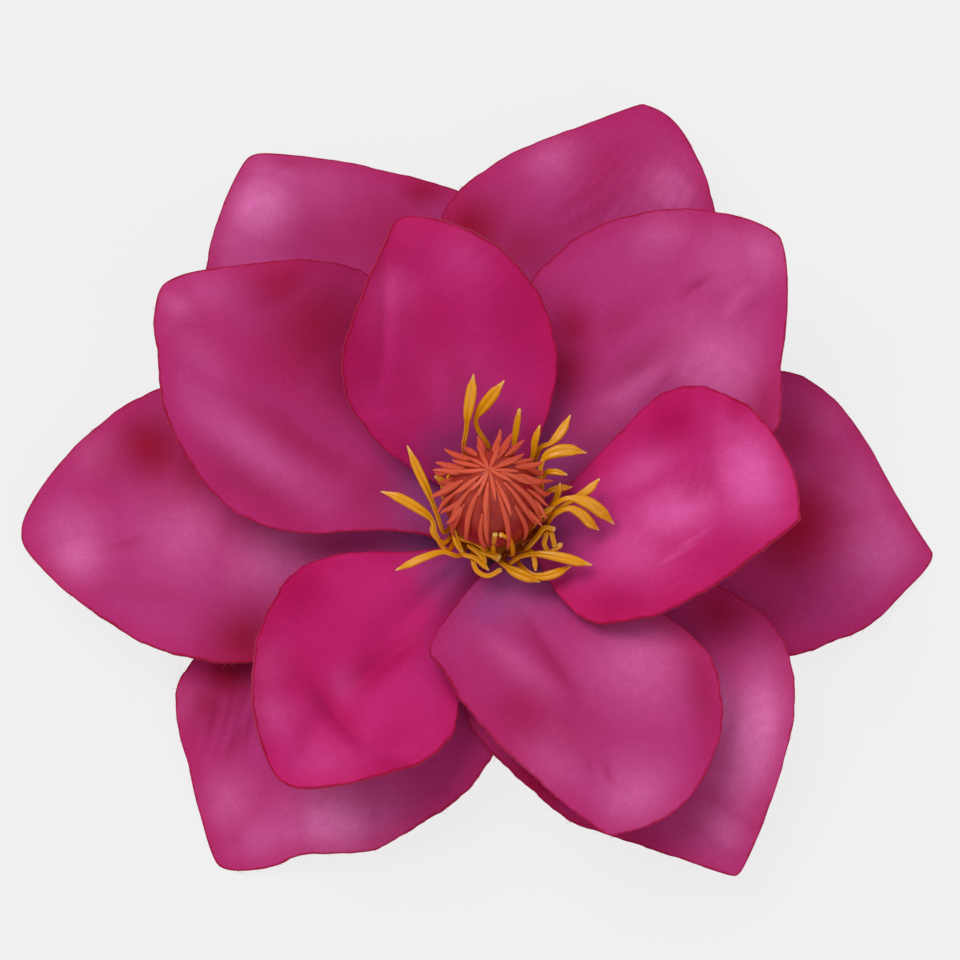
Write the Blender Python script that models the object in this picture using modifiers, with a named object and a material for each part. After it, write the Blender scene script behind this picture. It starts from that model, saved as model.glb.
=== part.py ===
"""A single magnolia bloom of stiffened cloth petals round a moulded centre, lying face up.

Twelve petals stand in four whorls of three. Each is one curved sheet, threaded on a turned
receptacle, and above them come a collar of stamens and the cone of styles. Everything is in
metres with +Z up. The origin is on the surface that the bloom rests on, under the middle of
its box, and the shapes are worked out round the receptacle's axis, a few mm from there.
"""

import math
import random
from dataclasses import dataclass

import bmesh
import bpy
import numpy as np
from mathutils import Matrix, Vector

MM = 0.001

# Points nearer than this become one: a petal's corners, a turned solid's pole, a strand's caps.
CORNER_MERGE = 0.01 * MM
CAP_MERGE = 0.001 * MM

# Petals. A root is where a petal leaves the receptacle, and azimuths run anticlockwise from +X.
CLOTH = 0.6 * MM
ROOT_RADIUS = 5.0 * MM
CLAW_HALF_WIDTH = 3.0 * MM
KEEL_SPREAD = 0.22
KEEL_FADE = 1.0
TIP_REACH = 0.2
ROWS = 14
COLUMNS = 8

# Receptacle, from its top face to the foot of its cut stem.
CORE_RADIUS = 4.6 * MM
CORE_TOP = 15.4 * MM
CORE_FILLET = 0.2 * MM
FLANGE_RADIUS = 7.6 * MM
FLANGE_TOP = 7.1 * MM
FLANGE_EDGE = 0.9 * MM
FLANGE_ROUND = 0.5 * MM
CALYX_FOOT = 5.3 * MM
NECK_RADIUS = 2.9 * MM
NECK_TOP = 4.0 * MM
STEM_RADIUS = 2.4 * MM
STEM_TOP = 3.1 * MM
STEM_FOOT = 1.6 * MM
TURNED_STEPS = 28

# Collar of stamens.
COLLAR_RADIUS = 6.2 * MM
COLLAR_FOOT = 15.7 * MM
COLLAR_HEIGHT = 0.9 * MM
COLLAR_ROUND = 0.2 * MM

# Stamens. Each leaves its root at STAMEN_OUT and humps over a crest, whose places are shares of
# the stamen's own turn, reach and height.
STAMEN_ROOT_RADIUS = 5.4 * MM
STAMEN_OUT_RADIUS = 8.0 * MM
STAMEN_OUT_HEIGHT = 17.6 * MM
STAMEN_OUT_TURN = 0.1
CREST_TURN = 0.7
CREST_REACH = 0.74
CREST_LEAST_REACH = 7.8
CREST_HEIGHT = 0.8
CREST_RISE = 3.5
STAMEN_POINTS = 9
FILAMENT_RADIUS = 0.42 * MM
ANTHER_RADIUS = 0.85 * MM
STAMEN_TIP_RADIUS = 0.15 * MM
ANTHER_START = 0.5

# Cone of styles, which leans towards one side.
CONE_FOOT = 17.2 * MM
CONE_HEIGHT = 14.0 * MM
CONE_FOOT_RADIUS = 1.4 * MM
CONE_FOOT_ROUND = 0.6
CONE_RADIUS = 6.2 * MM
CONE_WIDEST = 0.40
CONE_SHOULDER = 1.8
CONE_APEX = 0.62
CONE_LEAN = math.radians(11)
CONE_LEAN_AZIMUTH = math.radians(105)
CONE_RINGS = 9

# Styles. Places along them are parts of the cone's height, and turns are in radians.
STYLE_COUNT = 32
STYLE_POINTS = 7
STYLE_RADIUS = 0.62 * MM
STYLE_TIP_RADIUS = 0.15 * MM
STYLE_TAPER_START = 0.15
STYLE_TAPER = 0.6
STYLE_SINK = 0.35
STYLE_TOP = 0.97
STYLE_SPACING = 0.8
STYLE_FEET = (0.36, 0.66, 0.5)
STYLE_FOOT_SCATTER = 0.05
STYLE_LIFTS = (0.2 * MM, 0.7 * MM)
STYLE_CURL = 2.5
STYLE_SCATTER = 0.25
STYLE_SWAY = 0.12
STYLE_SEED = 11

MAGENTA = (0.43, 0.036, 0.17)
ROSE = (0.52, 0.025, 0.19)
YELLOW = (0.71, 0.33, 0.035)
CORAL = (0.55, 0.085, 0.045)
OLIVE = (0.13, 0.16, 0.05)


@dataclass(frozen=True)
class Side:
    """One side of a petal, from its midline to its edge. Lengths are in mm.

    width is the half-width at its widest, peak is how far along the petal that is, and base
    and tip are the powers of the curves that lead up to it and away from it. lift is the
    height of the edge over the midline at the root, a third, two thirds and the tip. swells
    are (size, place, spread) waves in the outline.
    """

    width: float
    peak: float
    base: float
    tip: float
    lift: tuple = (0, 0, 0, 0)
    swells: tuple = ()


@dataclass(frozen=True)
class Petal:
    """A petal: the azimuths of its root and tip in degrees, and its lengths in mm.

    reach is from the axis to the tip, bow is the midline's swing to the left of its chord,
    nose rounds the tip, heights are the midline's at the root, a third, two thirds and the
    tip, and keel is the depth of the fold along the midline. Left is anticlockwise.
    """

    name: str
    root: float
    tip: float
    reach: float
    bow: float
    nose: float
    heights: tuple
    left: Side
    right: Side
    keel: float = 0.0
    rests: bool = False
    colour: tuple = MAGENTA


OUTER_WHORL = (
    Petal("outer_petal_upper_left", 124, 121, 66, 1.2, 0.03, (8, 8.5, 5.5, 0.35),
          Side(19, 0.55, 1.2, 0.9, (0, -0.5, -1, 0)),
          Side(26, 0.49, 1.2, 0.93, (0, -1, -1, 0)), rests=True),
    Petal("outer_petal_lower_left", 234, 230, 57.5, 0.5, 0.055, (8, 8, 5, 0.35),
          Side(19.2, 0.42, 0.75, 1.05, (0, 0, 0.5, 0.5), ((-1.2, 0.9, 0.05), (0.9, 0.74, 0.07))),
          Side(20.5, 0.66, 1.2, 1.2, (0, 0.5, 0.5, 0), ((0.6, 0.55, 0.1),)), rests=True),
    Petal("outer_petal_right", 356, 359, 60, 0.5, 0.045, (8, 8.5, 5, 0.35),
          Side(23.7, 0.62, 1.2, 1.4, (0, 0.5, 0.5, 0)),
          Side(16, 0.59, 1.2, 0.95, (0, 0, 0, 0), ((0.4, 0.62, 0.06),)), rests=True),
)

SECOND_WHORL = (
    Petal("second_petal_top", 70, 71.2, 65, 0.3, 0.035, (9.6, 12, 11.5, 8),
          Side(20.6, 0.57, 1.2, 1.3, (0, -0.5, -1, 0)),
          Side(18.6, 0.52, 1.2, 0.65)),
    Petal("second_petal_left", 182, 180, 64, -0.5, 0.033, (9.6, 10.5, 9, 6.5),
          Side(19, 0.51, 0.95, 0.82, (0, 0, 1, 0)),
          Side(20.2, 0.59, 1.2, 0.74, (0, 1, 1, 0))),
    Petal("second_petal_lower_right", 304, 304.6, 56.5, 0.6, 0.025, (9.6, 10.5, 10, 7),
          Side(22.3, 0.55, 1.2, 0.98, (0, 1, 1, 0)),
          Side(18.8, 0.33, 0.85, 1.0, (0, 0, 0, 0), ((1.0, 0.67, 0.09), (-0.5, 0.42, 0.08)))),
)

THIRD_WHORL = (
    Petal("third_petal_upper_left", 178, 145, 53.7, 4.3, 0.043, (12.4, 17, 21.5, 23),
          Side(14, 0.48, 2.4, 0.95, (0, 0, 0, 0), ((-0.6, 0.86, 0.05),)),
          Side(21.3, 0.6, 1.2, 0.87, (0, 2, 3, 1))),
    Petal("third_petal_upper_right", 47, 44, 54.4, 4.8, 0.06, (12.4, 16.5, 20.5, 22),
          Side(15.4, 0.49, 1.2, 1.2, (0, 2, 2, 1)),
          Side(22.5, 0.63, 1.2, 1.1, (0, 1, 0, 0), ((-1.1, 0.84, 0.06), (0.5, 0.7, 0.06)))),
    Petal("third_petal_bottom", 310, 289.5, 46, 0.4, 0.045, (12.4, 16, 19, 18),
          Side(19.3, 0.585, 1.5, 0.47, (0, 0, -1, 0)),
          Side(15, 0.28, 1.0, 1.19, (0, 3, 1, 0), ((1.0, 0.25, 0.07),))),
)

INNER_WHORL = (
    Petal("inner_petal_top", 101, 110.2, 37.6, -1.4, 0.048, (14.2, 21, 29, 35),
          Side(15.3, 0.47, 0.66, 1.25, (0, 2.5, 3, 1)),
          Side(13.4, 0.45, 0.8, 0.85, (0, 2.5, 3, 1)), colour=ROSE),
    Petal("inner_petal_right", -5, 355, 40, -1, 0.008, (14.2, 18.5, 24, 29),
          Side(18.4, 0.54, 1.6, 0.44, (0, 4, 4, 1)),
          Side(13, 0.31, 1.15, 1.15, (0, 1, 1, 1)), colour=ROSE),
    Petal("inner_petal_lower_left", 232, 233.7, 45.5, -2, 0.048, (11, 13.5, 16, 19),
          Side(15.1, 0.59, 2.2, 0.8, (0, -0.5, 2, 1)),
          Side(14.8, 0.44, 1.9, 0.75, (0, 2, 4, 2)), keel=1.6, colour=ROSE),
)

PETALS = OUTER_WHORL + SECOND_WHORL + THIRD_WHORL + INNER_WHORL


@dataclass(frozen=True)
class Stamen:
    """A stamen: the azimuths of its root and tip in degrees, and its tip's place in mm.

    reach is from the axis, height is over the surface, and arch is how far it humps.
    """

    root: float
    tip: float
    reach: float
    height: float
    arch: float


# The long stamens, anticlockwise from the right, as they spread over the petals.
LONG_STAMENS = (
    Stamen(-2, 14, 14.4, 22.5, 1), Stamen(12, 26, 10.7, 21.5, 1), Stamen(26, 31, 14.2, 22, 2),
    Stamen(40, 51, 16, 22.5, 1), Stamen(54, 61, 12.1, 24, 0), Stamen(70, 75, 13, 25, 0),
    Stamen(88, 85, 15.6, 27.5, 1), Stamen(108, 99, 16.8, 27.5, 1), Stamen(152, 145, 13.9, 24, 1),
    Stamen(172, 172, 15, 22, 1), Stamen(210, 211, 15.2, 18.5, 1), Stamen(262, 304, 10.8, 18, 1),
    Stamen(284, 325, 12.4, 18.5, 0), Stamen(300, 331, 14.8, 19.5, 2), Stamen(334, 349, 14.1, 20, 3),
    Stamen(345, 353, 16, 20.5, 3),
)

# The short stamens curl up between the long ones on the open side, at even steps.
SHORT_STAMEN_FIRST = 190
SHORT_STAMEN_STEP = 20
SHORT_STAMEN_COUNT = 8
SHORT_STAMEN_SWEEP = 24
SHORT_STAMEN_REACHES = (7.8, 9.3)
SHORT_STAMEN_HEIGHTS = (17.8, 19.8)
SHORT_STAMEN_ARCH = 0.8
SHORT_STAMEN_SEED = 5


def clear_scene():
    """Removes every object that the file starts with."""
    for obj in list(bpy.data.objects):
        bpy.data.objects.remove(obj)


def new_collection(name, hidden=False):
    """A collection in the scene. A hidden one holds helpers, which aren't rendered."""
    collection = bpy.data.collections.new(name)
    bpy.context.scene.collection.children.link(collection)
    collection.hide_render = hidden
    return collection


def material(name, colour, roughness):
    """A plain finish that isn't metallic."""
    finish = bpy.data.materials.new(name)
    finish.use_nodes = True
    shader = finish.node_tree.nodes["Principled BSDF"]
    shader.inputs["Base Color"].default_value = (*colour, 1)
    shader.inputs["Roughness"].default_value = roughness
    shader.inputs["Metallic"].default_value = 0
    return finish


def place(mesh, name, collection, finish):
    """An object of this mesh, in a collection and with a finish."""
    obj = bpy.data.objects.new(name, mesh)
    collection.objects.link(obj)
    mesh.materials.append(finish)
    mesh.shade_smooth()
    return obj


def polar(radius, azimuth, height):
    """A point from its distance from the axis, its azimuth in degrees and its height."""
    turn = math.radians(azimuth)
    return np.array([radius * math.cos(turn), radius * math.sin(turn), height])


def through(values, t):
    """The polynomial in t that passes through the values, spread evenly from 0 to 1."""
    places = np.linspace(0, 1, len(values))
    total = 0 * t
    for i, value in enumerate(values):
        term = value + 0 * t
        for j, other in enumerate(places):
            if j != i:
                term = term * (t - other) / (places[i] - other)
        total = total + term
    return total


def tip_fade(along):
    """1 along most of the petal, and over the last TIP_REACH of it down to 0 at the tip."""
    return np.sin(np.pi / 2 * np.clip((1 - along) / TIP_REACH, 0, 1))


def half_width(side, along, nose):
    """The distance from midline to edge: a rise from the claw to the peak, then a fall to a
    rounded tip, with the side's swells added."""
    claw = CLAW_HALF_WIDTH / MM
    rise = np.sin(np.pi / 2 * np.clip(along / side.peak, 0, 1)) ** side.base
    left_over = np.clip((1 - along) / (1 - side.peak), 0, 1)
    rounded = np.sqrt((left_over**2 + 2 * nose * left_over) / (1 + 2 * nose))
    fall = np.sin(np.pi / 2 * rounded) ** side.tip
    width = np.where(along < side.peak, claw + (side.width - claw) * rise, side.width * fall)
    for size, place_along, spread in side.swells:
        wave = np.exp(-(((along - place_along) / spread) ** 2))
        width = width + size * wave * tip_fade(along)
    return width


def petal_surface(petal, along, across):
    """Points of the petal's middle surface. along runs from 0 at the root to 1 at the tip, and
    across from -1 at the right edge to 1 at the left edge."""
    start = polar(ROOT_RADIUS / MM, petal.root, 0)[:2]
    end = polar(petal.reach, petal.tip, 0)[:2]
    chord = (end - start) / np.linalg.norm(end - start)
    middle = (start + end) / 2 + 2 * petal.bow * np.array([-chord[1], chord[0]])
    t = along[:, None]
    midline = (1 - t) ** 2 * start + 2 * t * (1 - t) * middle + t**2 * end
    heading = 2 * (1 - t) * (middle - start) + 2 * t * (end - middle)
    heading = heading / np.linalg.norm(heading, axis=1, keepdims=True)
    leftward = np.stack([-heading[:, 1], heading[:, 0]], axis=1)
    width = np.where(
        across >= 0,
        half_width(petal.left, along, petal.nose),
        half_width(petal.right, along, petal.nose),
    )
    plan = midline + leftward * (across * width)[:, None]
    left = through(petal.left.lift, along) * tip_fade(along)
    right = through(petal.right.lift, along) * tip_fade(along)
    height = through(petal.heights, along)
    height = height + (left + right) / 2 * across**2 + (left - right) / 2 * across
    fold = np.exp(-((across / KEEL_SPREAD) ** 2)) * np.sin(np.pi * along) ** KEEL_FADE
    height = height - petal.keel * fold
    return np.column_stack([plan, height]) * MM


def petal_mesh(petal):
    """The petal's middle surface: a square grid laid on it, with rows closer near the tip."""
    mesh = bpy.data.meshes.new(petal.name)
    bm = bmesh.new()
    bmesh.ops.create_grid(bm, x_segments=ROWS, y_segments=COLUMNS, size=1)
    square = np.array([vertex.co for vertex in bm.verts])
    along = np.sin((square[:, 0] + 1) * np.pi / 4).clip(0, 1)
    for vertex, point in zip(bm.verts, petal_surface(petal, along, square[:, 1])):
        vertex.co = point
    bmesh.ops.remove_doubles(bm, verts=bm.verts, dist=CORNER_MERGE)
    bmesh.ops.triangulate(bm, faces=bm.faces)
    bm.to_mesh(mesh)
    bm.free()
    return mesh


def extent(objects):
    """The lowest and the highest corner of the objects' box, with their modifiers."""
    bpy.context.view_layer.update()
    graph = bpy.context.evaluated_depsgraph_get()
    points = []
    for obj in objects:
        evaluated = obj.evaluated_get(graph)
        points += [evaluated.matrix_world @ vertex.co for vertex in evaluated.data.vertices]
    return np.min(points, axis=0), np.max(points, axis=0)


def build_petal(petal, collection):
    """One petal: its sheet with the cloth's thickness. A petal that rests comes down to 0."""
    finish = material(petal.name + "_cloth", petal.colour, roughness=0.62)
    obj = place(petal_mesh(petal), petal.name, collection, finish)
    thickness = obj.modifiers.new("cloth", "SOLIDIFY")
    thickness.thickness = CLOTH
    thickness.offset = 0
    if petal.rests:
        obj.location.z = -extent([obj])[0][2]
    return obj


def turned(name, profile, collection, finish):
    """A solid turned round +Z from (radius, height) points, top to bottom."""
    mesh = bpy.data.meshes.new(name)
    bm = bmesh.new()
    vertices = [bm.verts.new((radius, 0, height)) for radius, height in profile]
    for first, second in zip(vertices, vertices[1:]):
        bm.edges.new((first, second))
    bm.to_mesh(mesh)
    bm.free()
    obj = place(mesh, name, collection, finish)
    screw = obj.modifiers.new("turned", "SCREW")
    screw.steps = TURNED_STEPS
    screw.render_steps = TURNED_STEPS
    screw.use_merge_vertices = True
    screw.merge_threshold = CORNER_MERGE
    return obj


def build_receptacle(collection):
    """The receptacle: a core through the whorls, a flange under them and a cut stem."""
    profile = [
        (0, CORE_TOP),
        (CORE_RADIUS, CORE_TOP),
        (CORE_RADIUS, FLANGE_TOP + CORE_FILLET),
        (FLANGE_RADIUS - FLANGE_ROUND, FLANGE_TOP),
        (FLANGE_RADIUS, FLANGE_TOP - FLANGE_EDGE / 2),
        (FLANGE_RADIUS - FLANGE_ROUND, FLANGE_TOP - FLANGE_EDGE),
        (CORE_RADIUS, CALYX_FOOT),
        (NECK_RADIUS, NECK_TOP),
        (STEM_RADIUS, STEM_TOP),
        (STEM_RADIUS, STEM_FOOT),
        (0, STEM_FOOT),
    ]
    finish = material("calyx_green", OLIVE, roughness=0.6)
    return turned("receptacle", profile, collection, finish)


def strand(name, points, radii, collection, finish):
    """A closed four-sided tube along the points, as thick as the radii at each."""
    curve = bpy.data.curves.new(name, "CURVE")
    curve.dimensions = "3D"
    curve.bevel_depth = 1
    curve.bevel_resolution = 0
    curve.use_fill_caps = True
    spline = curve.splines.new("POLY")
    spline.points.add(len(points) - 1)
    for target, point, radius in zip(spline.points, points, radii):
        target.co = (*point, 1)
        target.radius = radius
    guide = bpy.data.objects.new(name, curve)
    collection.objects.link(guide)
    mesh = mesh_of(guide)
    bpy.data.objects.remove(guide)
    return place(mesh, name, collection, finish)


def mesh_of(obj):
    """The object's evaluated mesh as a new mesh, with its loose caps joined on."""
    bpy.context.view_layer.update()
    graph = bpy.context.evaluated_depsgraph_get()
    mesh = bpy.data.meshes.new_from_object(obj.evaluated_get(graph))
    bm = bmesh.new()
    bm.from_mesh(mesh)
    bmesh.ops.remove_doubles(bm, verts=bm.verts, dist=CAP_MERGE)
    bm.to_mesh(mesh)
    bm.free()
    return mesh


def fuse(obj, helpers):
    """Joins the helpers' objects onto the object, as one closed body, and removes them."""
    union = obj.modifiers.new("fused", "BOOLEAN")
    union.operation = "UNION"
    union.solver = "MANIFOLD"
    union.operand_type = "COLLECTION"
    union.collection = helpers
    joined = mesh_of(obj)
    obj.modifiers.clear()
    obj.data = joined
    for helper in list(helpers.objects):
        bpy.data.objects.remove(helper)
    bpy.data.collections.remove(helpers)


def cone_radius(part):
    """The cone's radius at a part of its height: an egg, widest at CONE_WIDEST."""
    if part < CONE_WIDEST:
        swell = math.sin(math.pi / 2 * part / CONE_WIDEST) ** CONE_FOOT_ROUND
        return CONE_FOOT_RADIUS + (CONE_RADIUS - CONE_FOOT_RADIUS) * swell
    rest = (part - CONE_WIDEST) / (1 - CONE_WIDEST)
    return CONE_RADIUS * (1 - rest**CONE_SHOULDER) ** CONE_APEX


def style_points(azimuth, foot, lift, sway):
    """A style's route down the cone, from near the apex to its foot, with its tip lifted."""
    points = []
    for step in np.linspace(0, 1, STYLE_POINTS):
        part = STYLE_TOP + (foot - STYLE_TOP) * step**STYLE_SPACING
        sunk = -STYLE_SINK * STYLE_RADIUS * (1 - step)
        radius = cone_radius(part) + sunk + lift * step**STYLE_CURL
        turn = azimuth + sway * math.sin(math.pi * step)
        points.append(Vector(polar(radius, math.degrees(turn), part * CONE_HEIGHT)))
    return points


def style_radii():
    """A style's thickness along it: fine at both ends, and thickest towards the apex."""
    swell = np.sin(np.linspace(STYLE_TAPER_START, 1, STYLE_POINTS) * math.pi) ** STYLE_TAPER
    return STYLE_TIP_RADIUS + (STYLE_RADIUS - STYLE_TIP_RADIUS) * swell


def build_pistil(collection):
    """The cone with its styles, which run down from the apex on every side."""
    finish = material("moulded_coral", CORAL, roughness=0.5)
    parts = np.sin(np.linspace(1, 0, CONE_RINGS) * math.pi / 2)
    profile = [(cone_radius(part), part * CONE_HEIGHT) for part in parts] + [(0, 0)]
    cone = turned("pistil", profile, collection, finish)
    cone.data = mesh_of(cone)
    cone.modifiers.clear()
    styles = new_collection("styles", hidden=True)
    draw = random.Random(STYLE_SEED)
    for number in range(STYLE_COUNT):
        scatter = draw.uniform(-STYLE_SCATTER, STYLE_SCATTER)
        azimuth = 2 * math.pi * (number + scatter) / STYLE_COUNT
        foot = STYLE_FEET[number % len(STYLE_FEET)]
        foot += draw.uniform(-STYLE_FOOT_SCATTER, STYLE_FOOT_SCATTER)
        lift = draw.uniform(*STYLE_LIFTS)
        points = style_points(azimuth, foot, lift, draw.uniform(-STYLE_SWAY, STYLE_SWAY))
        strand("style", points, style_radii(), styles, finish)
    fuse(cone, styles)
    lean = Matrix.Rotation(CONE_LEAN_AZIMUTH, 4, "Z") @ Matrix.Rotation(CONE_LEAN, 4, "Y")
    lean = lean @ Matrix.Rotation(-CONE_LEAN_AZIMUTH, 4, "Z")
    cone.matrix_world = Matrix.Translation((0, 0, CONE_FOOT)) @ lean
    return cone


def short_stamens():
    """The short stamens: at even steps, each swept sideways, with a seeded draw of sizes."""
    draw = random.Random(SHORT_STAMEN_SEED)
    stamens = []
    for number in range(SHORT_STAMEN_COUNT):
        root = SHORT_STAMEN_FIRST + number * SHORT_STAMEN_STEP
        sweep = SHORT_STAMEN_SWEEP * (-1) ** number
        reach = draw.uniform(*SHORT_STAMEN_REACHES)
        height = draw.uniform(*SHORT_STAMEN_HEIGHTS)
        stamens.append(Stamen(root, root + sweep, reach, height, SHORT_STAMEN_ARCH))
    return stamens


def stamen_points(stamen):
    """A stamen's route: a Bezier curve from the collar, out under the cone and up to its tip."""
    root = polar(STAMEN_ROOT_RADIUS, stamen.root, COLLAR_FOOT + COLLAR_HEIGHT / 2)
    turn = stamen.tip - stamen.root
    out_azimuth = stamen.root + STAMEN_OUT_TURN * turn
    out = polar(STAMEN_OUT_RADIUS, out_azimuth, STAMEN_OUT_HEIGHT)
    crest_reach = max(CREST_REACH * stamen.reach, CREST_LEAST_REACH)
    crest_height = CREST_HEIGHT * stamen.height + CREST_RISE + stamen.arch
    crest = polar(crest_reach * MM, stamen.root + CREST_TURN * turn, crest_height * MM)
    tip = polar(stamen.reach * MM, stamen.tip, stamen.height * MM)
    t = np.linspace(0, 1, STAMEN_POINTS)[:, None]
    curve = (1 - t) ** 3 * root + 3 * t * (1 - t) ** 2 * out
    return curve + 3 * t**2 * (1 - t) * crest + t**3 * tip


def stamen_radii():
    """A thin filament as far as ANTHER_START, then a lance-shaped anther with a fine tip."""
    step = np.linspace(0, 1, STAMEN_POINTS)
    anther = np.clip((step - ANTHER_START) / (1 - ANTHER_START), 0, 1)
    swell = FILAMENT_RADIUS + (ANTHER_RADIUS - FILAMENT_RADIUS) * np.sin(np.pi * anther)
    return swell * (1 - anther**3) + STAMEN_TIP_RADIUS * anther**3


def build_stamens(collection):
    """The stamens, fused to the collar that carries them."""
    finish = material("moulded_yellow", YELLOW, roughness=0.4)
    top = COLLAR_FOOT + COLLAR_HEIGHT
    inner_radius = COLLAR_RADIUS - COLLAR_ROUND
    profile = [
        (0, top),
        (inner_radius, top),
        (COLLAR_RADIUS, top - COLLAR_ROUND),
        (COLLAR_RADIUS, COLLAR_FOOT + COLLAR_ROUND),
        (inner_radius, COLLAR_FOOT),
        (0, COLLAR_FOOT),
    ]
    collar = turned("stamens", profile, collection, finish)
    collar.data = mesh_of(collar)
    collar.modifiers.clear()
    strands = new_collection("stamen_strands", hidden=True)
    for stamen in LONG_STAMENS + tuple(short_stamens()):
        strand("stamen", stamen_points(stamen), stamen_radii(), strands, finish)
    fuse(collar, strands)
    return collar


def centre(collection):
    """Hangs the pieces on an empty that brings the middle of their box over the origin."""
    pieces = list(collection.objects)
    low, high = extent(pieces)
    holder = bpy.data.objects.new("bloom_place", None)
    collection.objects.link(holder)
    holder.location = (-(low[0] + high[0]) / 2, -(low[1] + high[1]) / 2, 0)
    for piece in pieces:
        piece.parent = holder


def main():
    """Builds the bloom."""
    clear_scene()
    bloom = new_collection("magnolia_bloom")
    for petal in PETALS:
        build_petal(petal, bloom)
    build_receptacle(bloom)
    build_stamens(bloom)
    build_pistil(bloom)
    centre(bloom)


main()
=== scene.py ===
"""The looks of one magnolia bloom of pressed cloth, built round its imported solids.

The bloom lies face up: twelve cloth petals in four whorls, a moulded collar of stamens, a
moulded cone of styles and the receptacle under them. Sizes are in mm and azimuths in degrees
anticlockwise from +X, round the receptacle's axis. Meshes are in metres, in the solids' frame.
"""

import logging
import math
from dataclasses import dataclass, field
from enum import Enum
from typing import Any

import bpy
import numpy as np
from mathutils import Matrix, Vector


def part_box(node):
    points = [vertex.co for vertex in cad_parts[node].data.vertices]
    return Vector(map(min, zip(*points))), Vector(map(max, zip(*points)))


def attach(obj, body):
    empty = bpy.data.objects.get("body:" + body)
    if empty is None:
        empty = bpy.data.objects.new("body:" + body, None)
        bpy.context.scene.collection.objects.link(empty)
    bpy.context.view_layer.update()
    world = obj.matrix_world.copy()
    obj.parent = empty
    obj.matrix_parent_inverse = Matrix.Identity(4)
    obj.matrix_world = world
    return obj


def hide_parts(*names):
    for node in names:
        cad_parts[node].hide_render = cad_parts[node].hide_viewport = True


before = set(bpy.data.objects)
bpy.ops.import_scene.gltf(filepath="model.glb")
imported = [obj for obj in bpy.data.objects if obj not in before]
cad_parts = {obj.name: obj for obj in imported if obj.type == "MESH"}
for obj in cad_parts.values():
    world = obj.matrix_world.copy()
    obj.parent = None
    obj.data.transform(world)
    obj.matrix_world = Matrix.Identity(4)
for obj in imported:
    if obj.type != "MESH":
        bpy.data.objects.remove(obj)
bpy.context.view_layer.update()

MM = 0.001
BODY = "root"
FLAT_MAP = "flat_cloth"

LOG = logging.getLogger("bloom")

# A linear colour with its alpha, and a place on a petal as its parts along and across.
Colour = tuple[float, float, float, float]
Spot = tuple[float, float]


class Slot(Enum):
    """The record's material slots."""

    PETAL = "petal_cloth"
    INNER_PETAL = "inner_petal_cloth"
    STAMEN = "stamen_yellow"
    PISTIL = "pistil_coral"
    RECEPTACLE = "receptacle_green"


def linear(red: int, green: int, blue: int) -> Colour:
    """A display colour, 0 to 255 a channel, as the linear colour that a shader takes.

    Args:
        red: Red as it shows on a display.
        green: Green.
        blue: Blue.

    Returns:
        Linear red, green and blue, with an alpha of 1.
    """
    shown = np.array([red, green, blue]) / 255
    low, high = shown / 12.92, ((shown + 0.055) / 1.055) ** 2.4
    return (*(float(x) for x in np.where(shown <= 0.04045, low, high)), 1.0)


class Value:
    """A number that a shader works out at each point, which can stand in a Python sum."""

    def __init__(self, shader: "Shader", socket: bpy.types.NodeSocket) -> None:
        """Wraps an output socket of a node."""
        self.shader = shader
        self.socket = socket

    def math(self, operation: str, *values: "Value | float") -> "Value":
        """The result of a Math node on the values."""
        return self.shader.node("ShaderNodeMath", {"operation": operation}, dict(enumerate(values)))

    def __add__(self, other: "Value | float") -> "Value":
        """self + other."""
        return self.math("ADD", self, other)

    def __sub__(self, other: "Value | float") -> "Value":
        """self - other."""
        return self.math("SUBTRACT", self, other)

    def __rsub__(self, other: float) -> "Value":
        """other - self."""
        return self.math("SUBTRACT", other, self)

    def __mul__(self, other: "Value | float") -> "Value":
        """self * other."""
        return self.math("MULTIPLY", self, other)

    __radd__ = __add__
    __rmul__ = __mul__

    def sine(self) -> "Value":
        """The sine of self in radians."""
        return self.math("SINE", self)

    def fall(self, near: float, far: float) -> "Value":
        """1 where self is under near, smoothly down to 0 where it is over far."""
        return self.shader.node(
            "ShaderNodeMapRange",
            {"interpolation_type": "SMOOTHSTEP"},
            {"Value": self, "From Min": near, "From Max": far, "To Min": 1.0, "To Max": 0.0},
        )

    def rise(self, near: float, far: float) -> "Value":
        """0 where self is under near, smoothly up to 1 where it is over far."""
        return 1 - self.fall(near, far)


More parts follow.
